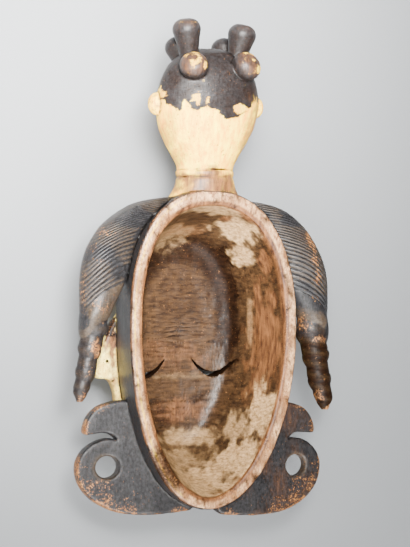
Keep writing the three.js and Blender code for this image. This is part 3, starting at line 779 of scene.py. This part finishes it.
# The small head on its neck
head = {
    "sections": [  # y, half width, half depth, depth of the middle
        (321, 45, 28, 30), (331, 39, 27, 29), (340, 34, 26.5, 28), (347, 32, 26.5, 28),
        (351, 30.8, 25.4, 28), (352.8, 31.7, 26.4, 28), (356.2, 31.7, 26.4, 28), (358, 30.7, 25.3, 28),
        (364, 31.8, 26.8, 27), (376, 38.5, 31, 27), (388, 46, 34, 26), (402, 53, 36, 24),
        (418, 56.5, 36.5, 22), (434, 56.5, 36, 20), (448, 54, 33.5, 19), (460, 49.5, 30, 18),
        (471, 42, 25, 18), (480, 30, 18, 18), (485.5, 13.5, 8, 18),
    ],
    "rings": 120, "around": 92,
    "ear": ((57, 427, -24), (10, 12, 8.5)),
    "nose": [(440, 4, 55), (418, 8, 69), (412, 8, 68), (407, 5.5, 55)], "noseBack": 40,
    "forms": [((0, 384, 48), (18, 12, 13)), ((0, 397, 54), (15, 5, 8)), ((21, 427, 50), (13, 7.5, 8)),
              ((0, 448, 40), (46, 9, 14))],
    "hairline": [(-60, 433), (-51, 424), (-43, 417), (-39, 429), (-24, 418), (-15, 424), (-1, 417), (7, 409),
                 (16, 412), (23, 415), (31, 421), (47, 429), (60, 434)],
    "hairRise": 0.7, "browLine": 452,
    "bareHair": [(-26, 427, 6, 13, 0.9), (-14, 430, 3, 9, 0.7), (20, 422, 13, 6, 0.8), (-56, 436, 5, 8, 0.8),
                 (44, 432, 9, 6, 0.5), (30, 447, 6, 4, 0.6), (-22, 449, 6, 4, 0.6)],
    # Brown at the foot of the neck, and painted shade in brown down the sides of the neck, more on the right.
    "browned": [(0, 340, 60, 24, 1.15), (34, 350, 8, 12, 0.6), (-32, 348, 9, 14, 0.7), (51, 392, 24, 52, 0.8),
                (-48, 392, 8, 36, 0.55), (37, 366, 12, 30, 0.8), (-34, 370, 7, 22, 0.5)],
    # Painted shade on the hair around the knobs and at its edges.
    "hairShade": [(-32, 438, 17, 13, 0.7), (38, 440, 18, 14, 0.6), (-48, 450, 10, 20, 0.6),
                 (10, 424, 20, 8, 0.5)],
    "brow": [(6, 434), (21, 450), (42, 433)], "browHalf": 2.3, "browFade": 4,
    "lid": [(9, 428), (21, 416), (35, 428)], "lidHalf": 1.5, "mouth": [(0, 397.4), (7, 396.4), (14, 397.6)],
    "mouthHalf": 0.6, "lineFade": 2.6, "lips": (17, 5.2, 397), "lipFade": 3,  # half width, half height, y
    "middle": (0, 400, -24), "dense": 0.4, "blend": 1.5, "neckLines": (358.4, 350.6), "neckLineHalf": 1.1,
}


def makeHead():
    section = curveAt(head["sections"], np.linspace(0, 1, head["rings"]))
    angle = turns(head["around"])
    angle = angle - head["dense"] * np.cos(angle)
    x = section[:, 1:2] * np.cos(angle)
    z = section[:, 2:3] * np.sin(angle) - section[:, 3:4]
    y = np.broadcast_to(section[:, :1], x.shape).copy()
    flatX, flatY, depth = x.ravel(), y.ravel(), -z.ravel()
    front = depth > np.broadcast_to(section[:, 3:4], x.shape).ravel()
    out = softMax(depth, noseDepth(flatX, flatY, head["nose"], head["noseBack"]), head["blend"])
    for at, size in head["forms"]:
        out = softMax(out, ballDepth(flatX, flatY, at, size), head["blend"])
    rings = np.dstack([x, y, np.where(front, -out, -depth).reshape(x.shape)])
    points = rings.reshape(-1, 3)
    line = np.interp(points[:, 0], *np.array(head["hairline"]).T)
    line = np.where(front, head["browLine"] - 14 * smooth(40, 56, np.abs(points[:, 0])), line)
    line += roughNoise(points, (6, 9, 6), 107) * 2.5
    hair = smooth(-3.5, 3.5, points[:, 1] - line)
    normal = ringNormals(rings).reshape(-1, 3)
    sideways = (points - head["middle"]) * np.array([1, 0, 1])
    normal *= np.sign(np.einsum("ij,ij->i", normal, sideways))[:, None]
    strand = mottle(points, (2.6, 7, 2.6), 109)
    lift = hair * (head["hairRise"] + 0.35 * strand) + (1 - hair) * 0.2 * roughNoise(points, 12, 113)
    points = points + normal * lift[:, None]
    worn = patches(points, head["bareHair"], 0.9, 127)
    # Browning at the neck's foot, and painted shade in brown on its sides.
    brown = patches(points, head["browned"], 0.3, 131)
    crack = sum(np.exp(-((points[:, 1] - at) / head["neckLineHalf"]) ** 2) for at in head["neckLines"])
    crack *= np.clip(0.5 + mottle(points, 9, 137), 0, 1)
    # The hair is darkened all over, and more where painted shade lies around the knobs.
    black = hair * np.maximum(0.45, patches(points, head["hairShade"], 0.5, 139)) * (1 - worn)
    brow = front * brushed(flatX, flatY, head["brow"], head["browHalf"], head["browFade"])
    lines = [front * brushed(flatX, flatY, head[name], head[name + "Half"], head["lineFade"])
             for name in ("lid", "mouth")]
    half, tall, at = head["lips"]
    lips = (tall * (1 - (flatX / half) ** 2) - np.abs(flatY - at)) / head["lipFade"]
    lips = front * np.clip(0.5 + lips, 0, 1)
    paint = {"cream": 1 + 0 * hair, "soot": np.maximum(hair * (1 - 0.9 * worn), brow),
             "stain": np.maximum.reduce([black, crack * 1.1, *lines]),
             "rust": np.maximum.reduce([worn * 0.4 * hair, brown * 0.8, lips])}
    paint = {name: values.reshape(x.shape) for name, values in paint.items()}
    return ringBody("head", points.reshape(rings.shape), paint)


def makeSmallEar(sign):
    at, size = head["ear"]
    tilt, angle = np.linspace(0.06, math.pi - 0.06, 22), turns(26)
    x = size[0] * np.sin(tilt)[:, None] * np.cos(angle)
    z = size[2] * np.sin(tilt)[:, None] * np.sin(angle)
    y = np.broadcast_to(size[1] * np.cos(tilt)[:, None], x.shape)
    rings = np.dstack([sign * (at[0] + x), at[1] + y, at[2] + z])
    brown = smooth(-0.2, 0.7, roughNoise(rings, 8, 141)) * 0.6
    return ringBody("smallEar", rings, {"cream": 1.0, "rust": brown, "wear": 0.2})


# One turned knob of hair, set on the head six times by a node tree
knob = {
    "profile": [(-44, 10), (-24, 10.8), (-16, 12), (-7, 14), (-3, 15), (2, 14.6), (7, 11.5), (9.4, 7),
                (10, 2)],
    "rings": 44, "around": 26, "soot": 0.68, "rust": 0.42,
    "places": [  # foot, cap, girth, how worn the cap is
        ((-22, 452, -10), (-30, 466, 10), 1.0, 0.95), ((24, 454, -10), (32, 467.8, 10), 1.06, 0.95),
        ((-24, 466, -12), (-31.3, 506, -6), 1.0, 0.55), ((26.6, 463, -12), (33.9, 503, -6), 1.0, 0.45),
        ((-20, 462, -30), (-25.5, 491, -42), 0.93, 0.2), ((24, 462, -30), (29.6, 491, -42), 0.93, 0.2),
    ],
}


def addNode(tree, kind, links=None, **settings):
    made = tree.nodes.new(kind)
    for name, value in settings.items():
        setattr(made, name, value)
    for socket, source in (links or {}).items():
        if isinstance(source, bpy.types.NodeSocket):
            tree.links.new(source, made.inputs[socket])
        else:
            made.inputs[socket].default_value = source
    return made


def makeKnobs(finish):
    profile = curveAt(knob["profile"], np.linspace(0, 1, knob["rings"]), evenLength=True)
    angle = turns(knob["around"])
    along = np.broadcast_to(profile[:, :1], (knob["rings"], knob["around"]))
    rings = np.dstack([profile[:, 1:] * np.cos(angle), profile[:, 1:] * np.sin(angle), along])
    cap = smooth(-5, 7, along)
    one = ringBody("knob", rings + carvingZero, {"soot": 1.0, "cream": cap, "stain": 0.5 * (1 - cap)})
    seeds = bpy.data.meshes.new("knobPlaces")
    caps = np.array([cap for _, cap, _, _ in knob["places"]], float)
    seeds.from_pydata(toFrame(caps).tolist(), [], [])
    aims = np.array([np.subtract(cap, foot) for foot, cap, _, _ in knob["places"]], np.float32)
    seeds.attributes.new("aim", "FLOAT_VECTOR", "POINT").data.foreach_set("vector", aims.ravel())
    setPaint(seeds, "girth", [girth for _, _, girth, _ in knob["places"]])
    holder = addObject("knobs", seeds)
    tree = bpy.data.node_groups.new("knobsOnHead", "GeometryNodeTree")
    tree.interface.new_socket("Places", in_out="INPUT", socket_type="NodeSocketGeometry")
    tree.interface.new_socket("Knob", in_out="INPUT", socket_type="NodeSocketObject")
    size = tree.interface.new_socket("Size", in_out="INPUT", socket_type="NodeSocketFloat")
    size.default_value = 1.0
    tree.interface.new_socket("Knobs", in_out="OUTPUT", socket_type="NodeSocketGeometry")
    given = addNode(tree, "NodeGroupInput")
    aim = addNode(tree, "GeometryNodeInputNamedAttribute", {"Name": "aim"}, data_type="FLOAT_VECTOR")
    girth = addNode(tree, "GeometryNodeInputNamedAttribute", {"Name": "girth"}, data_type="FLOAT")
    turned = addNode(tree, "FunctionNodeAlignRotationToVector", {
        "Vector": aim.outputs["Attribute"]}, axis="Z")
    shape = addNode(tree, "GeometryNodeObjectInfo", {"Object": given.outputs["Knob"]})
    scale = addNode(tree, "ShaderNodeMath", {
        0: girth.outputs["Attribute"], 1: given.outputs["Size"]}, operation="MULTIPLY")
    placed = addNode(tree, "GeometryNodeInstanceOnPoints", {
        "Points": given.outputs["Places"], "Instance": shape.outputs["Geometry"],
        "Rotation": turned.outputs["Rotation"], "Scale": scale.outputs["Value"]})
    real = addNode(tree, "GeometryNodeRealizeInstances", {"Geometry": placed.outputs["Instances"]})
    dressed = addNode(tree, "GeometryNodeSetMaterial", {
        "Geometry": real.outputs["Geometry"], "Material": finish})
    addNode(tree, "NodeGroupOutput", {"Knobs": dressed.outputs["Geometry"]})
    grown = holder.modifiers.new("knobs", "NODES")
    grown.node_group = tree
    for item in tree.interface.items_tree:
        if item.item_type == "SOCKET" and item.in_out == "INPUT" and item.name == "Knob":
            grown[item.identifier] = one
    return plainMesh(holder, "knobs"), one


# The mesh that an object's modifiers make, in an object of its own.
def plainMesh(source, name):
    seen = source.evaluated_get(bpy.context.evaluated_depsgraph_get())
    mesh = bpy.data.meshes.new_from_object(seen)
    bpy.data.objects.remove(source)
    return addObject(name, mesh)


# A carved piece of wood, painted once: the paint masks choose between these coats, from below to above.
# Each coat: its darker and lighter colour, the size of its mottling in mm, how ragged and how soft its edge
# is, how rough it dries, and how much it shines: old smoke, grime and painted shade hardly shine at all.
paintCoats = {
    "hollow": ("#1b110a", "#48331f", (12, 3, 7), 0.3, 0.3, 0.37, 0.5),
    "rim": ("#623b28", "#dcb080", (2.6, 5, 2.6), 0.5, 0.2, 0.4, 0.5),
    "clay": ("#d6aa46", "#f8e884", (6, 8, 6), 0.35, 0.12, 0.8, 0.5),
    "cream": ("#ec9812", "#ffde3a", (5, 20, 5), 0.5, 0.15, 0.6, 0.5),
    "soot": ("#0a0a0b", "#29292b", (2.6, 4, 2.6), 0.8, 0.1, 0.42, 0.5),
    "rust": ("#362015", "#7d5230", (4, 22, 5), 0.6, 0.5, 0.42, 0.5),
    # Stains and grime, and painted shade in creases, in the slits and over the right braid end and wing.
    "stain": ("#080402", "#201209", (8, 2.4, 6), 0.7, 0.5, 0.42, 0.15),
    # Dust and milky varnish, with painted sheen and painted reflections of the lamps.
    "bloom": ("#80623c", "#d0aa7a", (6, 2.6, 5), 0.24, 0.5, 0.36, 0.5),
    "wear": ("#603618", "#9f7042", (4.4, 5.4, 4.4), 2.4, 0.16, 0.5, 0.5),
}
thickCoats = {"names": ("clay", "soot"), "thick": 0.6}
woodGrain = {
    "dark": "#7d5534", "light": "#a17c56", "width": 1.6, "length": 26, "depth": 0.00025, "edge": 0.16,
    "rough": 0.68, "shine": 0.5, "ior": 1.34, "bump": 0.8, "recessDirtAndShade": "#4a3a30",
    "pit": 2.4, "pitShare": (0.64, 0.72), "pitColour": "#1d130c", "pitCover": 0.6, "pitDepth": 1.2,
}


# Light hardwood cut with an adze and never sanded: dull, striped along the trunk, with paint that flakes.
def paintedWood():
    material = bpy.data.materials.new("carvedPaintedWood")
    material.use_nodes = True
    tree = material.node_tree
    tree.nodes.clear()
    place = addNode(tree, "ShaderNodeTexCoord").outputs["Object"]
    width, length = woodGrain["width"], woodGrain["length"]
    stretched = addNode(tree, "ShaderNodeMapping", {
        "Vector": place, "Scale": (1000 / width, 1000 / length, 1000 / width)})
    grain = addNode(tree, "ShaderNodeTexNoise", {
        "Vector": stretched.outputs["Vector"], "Scale": 1.0, "Detail": 3.0, "Roughness": 0.6,
        "Distortion": 0.4})
    wood = addNode(tree, "ShaderNodeMix", {
        "Factor": grain.outputs["Fac"], 6: linear(woodGrain["dark"]), 7: linear(woodGrain["light"])},
        data_type="RGBA")
    colour, height = wood.outputs[2], grain.outputs["Fac"]
    rough, shine = woodGrain["rough"], woodGrain["shine"]
    edge = addNode(tree, "ShaderNodeAttribute", attribute_name="edge").outputs["Fac"]
    for number, (name, coat) in enumerate(paintCoats.items()):
        dark, light, size, torn, soft, dryRough, dryShine = coat
        mask = addNode(tree, "ShaderNodeAttribute", attribute_name=name).outputs["Fac"]
        if name == "wear":
            mask = addNode(tree, "ShaderNodeMath", {0: edge, 1: woodGrain["edge"], 2: mask},
                           operation="MULTIPLY_ADD").outputs["Value"]
        sized = addNode(tree, "ShaderNodeMapping", {
            "Vector": place, "Location": (number * 3.1, number * 1.7, 0),
            "Scale": tuple(1000 / s for s in size)})
        cloud = addNode(tree, "ShaderNodeTexNoise", {
            "Vector": sized.outputs["Vector"], "Scale": 1.0, "Detail": 4.0, "Roughness": 0.65})
        flake = addNode(tree, "ShaderNodeTexNoise", {
            "Vector": sized.outputs["Vector"], "Scale": 2.3, "Detail": 3.0, "Roughness": 0.7})
        ragged = addNode(tree, "ShaderNodeMath", {
            0: flake.outputs["Fac"], 1: torn, 2: mask}, operation="MULTIPLY_ADD")
        half = 0.5 + 0.5 * torn
        cover = addNode(tree, "ShaderNodeMapRange", {
            "Value": ragged.outputs["Value"], "From Min": half - soft, "From Max": half + soft},
            interpolation_type="SMOOTHSTEP").outputs["Result"]
        spread = addNode(tree, "ShaderNodeMapRange", {
            "Value": cloud.outputs["Fac"], "From Min": 0.33, "From Max": 0.67}).outputs["Result"]
        tint = addNode(tree, "ShaderNodeMix", {
            "Factor": spread, 6: linear(dark), 7: linear(light)}, data_type="RGBA")
        colour = addNode(tree, "ShaderNodeMix", {"Factor": cover, 6: colour, 7: tint.outputs[2]},
                         data_type="RGBA").outputs[2]
        rough = addNode(tree, "ShaderNodeMix", {"Factor": cover, 2: rough, 3: dryRough}).outputs[0]
        shine = addNode(tree, "ShaderNodeMix", {"Factor": cover, 2: shine, 3: dryShine}).outputs[0]
        if name in thickCoats["names"]:
            height = addNode(tree, "ShaderNodeMath", {0: cover, 1: thickCoats["thick"], 2: height},
                             operation="MULTIPLY_ADD").outputs["Value"]
    pitted = addNode(tree, "ShaderNodeTexNoise", {
        "Vector": place, "Scale": 1000 / woodGrain["pit"], "Detail": 2.0, "Roughness": 0.55})
    low, high = woodGrain["pitShare"]
    pit = addNode(tree, "ShaderNodeMapRange", {
        "Value": pitted.outputs["Fac"], "From Min": low, "From Max": high,
        "To Max": woodGrain["pitCover"]}).outputs["Result"]
    colour = addNode(tree, "ShaderNodeMix", {"Factor": pit, 6: colour, 7: linear(woodGrain["pitColour"])},
                     data_type="RGBA").outputs[2]
    height = addNode(tree, "ShaderNodeMath", {0: pit, 1: -woodGrain["pitDepth"], 2: height},
                     operation="MULTIPLY_ADD").outputs["Value"]
    # Darker in the corners that stand in: dirt and painted shade, multiplied in.
    recessDirtAndShade = addNode(tree, "ShaderNodeAttribute", attribute_name="recessDirtAndShade").outputs["Fac"]
    colour = addNode(tree, "ShaderNodeMix", {
        "Factor": recessDirtAndShade, 6: colour, 7: linear(woodGrain["recessDirtAndShade"])},
        data_type="RGBA", blend_type="MULTIPLY").outputs[2]
    bump = addNode(tree, "ShaderNodeBump", {
        "Height": height, "Strength": woodGrain["bump"], "Distance": woodGrain["depth"]})
    shader = addNode(tree, "ShaderNodeBsdfPrincipled", {
        "Base Color": colour, "Roughness": rough, "Specular IOR Level": shine,
        "Normal": bump.outputs["Normal"], "IOR": woodGrain["ior"]})
    addNode(tree, "ShaderNodeOutputMaterial", {"Surface": shader.outputs["BSDF"]})
    return material


# One knob of several in a joined mesh, by its own run of points, with its cap worn as much as given.
def takeOut(joined, first, count, worn, name):
    mesh = joined.data.copy()
    bm = bmesh.new()
    bm.from_mesh(mesh)
    others = [v for v in bm.verts if not first <= v.index < first + count]
    bmesh.ops.delete(bm, geom=others, context="VERTS")
    bm.to_mesh(mesh)
    bm.free()
    bare = readValues(mesh.attributes["cream"].data, "value", count, np.float32) * worn
    points = readValues(mesh.vertices, "co", count * 3).reshape(-1, 3) / mm
    spot = smooth(-0.5, 0.5, roughNoise(points, 7, 163))
    setPaint(mesh, "soot", 1 - knob["soot"] * bare * (0.4 + 0.6 * spot))
    setPaint(mesh, "rust", knob["rust"] * bare)
    return addObject(name, mesh)


def carveTogether(main, added, cuts):
    for tool, work in [(piece, "UNION") for piece in added] + [(piece, "DIFFERENCE") for piece in cuts]:
        step = main.modifiers.new(tool.name, "BOOLEAN")
        step.object, step.operation, step.solver = tool, work, "MANIFOLD"
    whole = plainMesh(main, "carvedMask")
    for tool in added + cuts:
        bpy.data.objects.remove(tool)
    return whole


# Where two bodies meet, the knife leaves a soft corner: those points are eased, and bends are measured
# for wear on the corners that stand out, and for dirt with painted shade in the ones that stand in.
finishing = {
    "paintRounds": 3, "besideSeam": 0.75, "nextBeside": 0.4, "easeRounds": 5, "ease": 0.6,
    "leastSpan": 0.5, "sharpestBend": 0.5, "bendRounds": 4, "edge": (0.02, 0.12), "recessDirtAndShade": (0.015, 0.1),
    "quietSeam": 1.6, "smoothUpTo": 55,
}


def finishSkin(piece):
    mesh = piece.data
    count = len(mesh.vertices)
    points = readValues(mesh.vertices, "co", count * 3).reshape(-1, 3) / mm
    a, b = readValues(mesh.edges, "vertices", len(mesh.edges) * 2, np.int64).reshape(-1, 2).T
    near = np.bincount(a, minlength=count) + np.bincount(b, minlength=count)

    def average(values):
        total = np.zeros((count, values.shape[1]))
        for k in range(values.shape[1]):
            total[:, k] = np.bincount(a, values[b, k], count) + np.bincount(b, values[a, k], count)
        return total / near[:, None]

    paints = np.column_stack([
        readValues(mesh.attributes[name].data, "value", count, np.float32) for name in paintNames])
    for _ in range(finishing["paintRounds"]):  # a corner that a cut made has no paint yet, and takes some
        painted = (paints.sum(1) > 1e-6).astype(float)[:, None]
        around = average(paints * painted) / np.maximum(average(painted), 1e-6)
        paints = np.where(painted > 0, paints, around)
    for name, values in zip(paintNames, paints.T):
        setPaint(mesh, name, values)
    numbers = readValues(mesh.attributes["body"].data, "value", len(mesh.polygons), np.int32)
    starts = readValues(mesh.loops, "vertex_index", len(mesh.loops), np.int64)
    owner = np.repeat(numbers, readValues(mesh.polygons, "loop_total", len(mesh.polygons), np.int64))
    low, high = np.full(count, 999), np.full(count, -1)
    np.minimum.at(low, starts, owner)
    np.maximum.at(high, starts, owner)
    seam = (low != high).astype(float)[:, None]
    for share in (finishing["besideSeam"], finishing["nextBeside"]):
        seam = np.maximum(seam, share * (average(seam) > 0))
    for _ in range(finishing["easeRounds"]):
        points += (average(points) - points) * seam * finishing["ease"]
    mesh.vertices.foreach_set("co", (points * mm).ravel())
    mesh.update()
    normals = readValues(mesh.vertices, "normal", count * 3).reshape(-1, 3)
    length = np.linalg.norm(points[a] - points[b], axis=1)
    span = (np.bincount(a, length, count) + np.bincount(b, length, count)) / near
    bend = np.einsum("ij,ij->i", points - average(points), normals)
    bend = bend / np.maximum(span, finishing["leastSpan"]) ** 2
    bend = np.clip(bend, -finishing["sharpestBend"], finishing["sharpestBend"])[:, None]
    for _ in range(finishing["bendRounds"]):
        bend = bend * 0.5 + average(bend) * 0.5
    bend = bend[:, 0]
    apart = 1 - np.minimum(1, average(average(seam)) * finishing["quietSeam"])[:, 0]
    setPaint(mesh, "edge", smooth(*finishing["edge"], bend) * apart)
    # Corners that stand in are painted darker: dirt and painted shade.
    setPaint(mesh, "recessDirtAndShade", smooth(*finishing["recessDirtAndShade"], -bend))
    for name in ("body", "aim", "girth"):
        if name in mesh.attributes:
            mesh.attributes.remove(mesh.attributes[name])
    mesh.shade_smooth()
    mesh.set_sharp_from_angle(angle=math.radians(finishing["smoothUpTo"]))


# Specks of up to five thousandths of a millimetre that the cuts leave are taken away.
speck = 0.005 * mm


def dropSpecks(piece):
    bm = bmesh.new()
    bm.from_mesh(piece.data)
    bmesh.ops.dissolve_degenerate(bm, dist=speck, edges=bm.edges)
    bmesh.ops.delete(bm, geom=[v for v in bm.verts if not v.link_faces], context="VERTS")
    bm.to_mesh(piece.data)
    bm.free()


finish = paintedWood()
main = makeBowl()
print("bowl and face carved")
added = []
for side in sides:
    added += [makeEar(side), makeBraid(side), makeTip(side), makeWing(side)]
print("braids, ears and wings carved")
knobs, oneKnob = makeKnobs(finish)
bpy.data.objects.remove(oneKnob)
perKnob = knob["rings"] * knob["around"] + 2
added += [makeHead(), makeSmallEar(-1), makeSmallEar(1)]
for k, (_, _, _, worn) in enumerate(knob["places"]):
    added.append(takeOut(knobs, k * perKnob, perKnob, worn, "knob"))
bpy.data.objects.remove(knobs)
print("head and knobs carved")
cuts = [eyeSlit(-1), eyeSlit(1)] + [makeHole(*hole) for hole in ear["holes"]]
mask = carveTogether(main, added, cuts)
finishSkin(mask)
dropSpecks(mask)
mask.data.materials.clear()
mask.data.materials.append(finish)
mask.data.calc_loop_triangles()
print("one piece of", len(mask.data.loop_triangles), "triangles")

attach(mask, "root")
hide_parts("mask")

# The floor it lies on and soft studio light from the upper left.
studio = {
    "floor": "#75787b", "floorSize": 9.0, "world": "#e9eef4", "worldStrength": 0.2, "tint": (1.0, 0.98, 0.95),
    "lamps": [  # where it hangs and what it points at in metres, its width, its watts, its spread in degrees
        ((-0.5, 0.52, 1.12), (-0.22, 0.4, 0.05), 0.8, 34, 46),
        ((-1.05, -0.1, 1.6), (0, 0, 0.05), 1.4, 10, 180),
        ((-1.2, -0.9, 1.2), (0, -0.15, 0.05), 1.9, 50, 180),
        ((-0.1, -1.5, 1.3), (0.07, -0.48, 0), 1.4, 22, 70),
    ],
}


def makeStudio():
    half = studio["floorSize"] / 2
    mesh = bpy.data.meshes.new("floor")
    corners = [(-half, -half, 0), (half, -half, 0), (half, half, 0), (-half, half, 0)]
    mesh.from_pydata(corners, [], [(0, 1, 2, 3)])
    floor = addObject("floor", mesh)
    paper = bpy.data.materials.new("paleStudioPaper")
    paper.use_nodes = True
    shader = paper.node_tree.nodes["Principled BSDF"]
    shader.inputs["Base Color"].default_value = linear(studio["floor"])
    shader.inputs["Roughness"].default_value = 0.9
    mesh.materials.append(paper)
    for at, aim, size, power, spread in studio["lamps"]:
        lamp = bpy.data.lights.new("softbox", "AREA")
        lamp.size, lamp.energy, lamp.color, lamp.spread = size, power, studio["tint"], math.radians(spread)
        holder = addObject("softbox", lamp)
        holder.location = at
        holder.rotation_euler = (Vector(aim) - Vector(at)).to_track_quat("-Z", "Y").to_euler()
    world = bpy.data.worlds.new("studioAir")
    world.use_nodes = True
    sky = world.node_tree.nodes["Background"]
    sky.inputs["Color"].default_value = linear(studio["world"])
    sky.inputs["Strength"].default_value = studio["worldStrength"]
    bpy.context.scene.world = world


# The camera looks at the back from the left, 25 degrees off straight, level with the middle of the mask.
view = {"turn": 25.0, "distance": 2100.0, "lookAt": (-12.6, 248.5, 0.0),
        "film": 36.0, "focal": 36 * 2000 / 547}


def makeCamera():
    angle = math.radians(view["turn"])
    back = Vector((-math.sin(angle), 0, math.cos(angle)))
    right, up = Vector((math.cos(angle), 0, math.sin(angle))), Vector((0, 1, 0))
    lens = bpy.data.cameras.new("camera")
    lens.sensor_width, lens.lens = view["film"], view["focal"]
    lens.clip_start, lens.clip_end = 0.05, 50
    camera = addObject("camera", lens)
    turned = Matrix((right, up, back)).transposed().to_4x4()
    place = Vector(toFrame(view["lookAt"])) + back * view["distance"] * mm
    camera.matrix_world = Matrix.Translation(place) @ turned
    bpy.context.scene.camera = camera


makeStudio()
makeCamera()
print("camera, light and floor set")
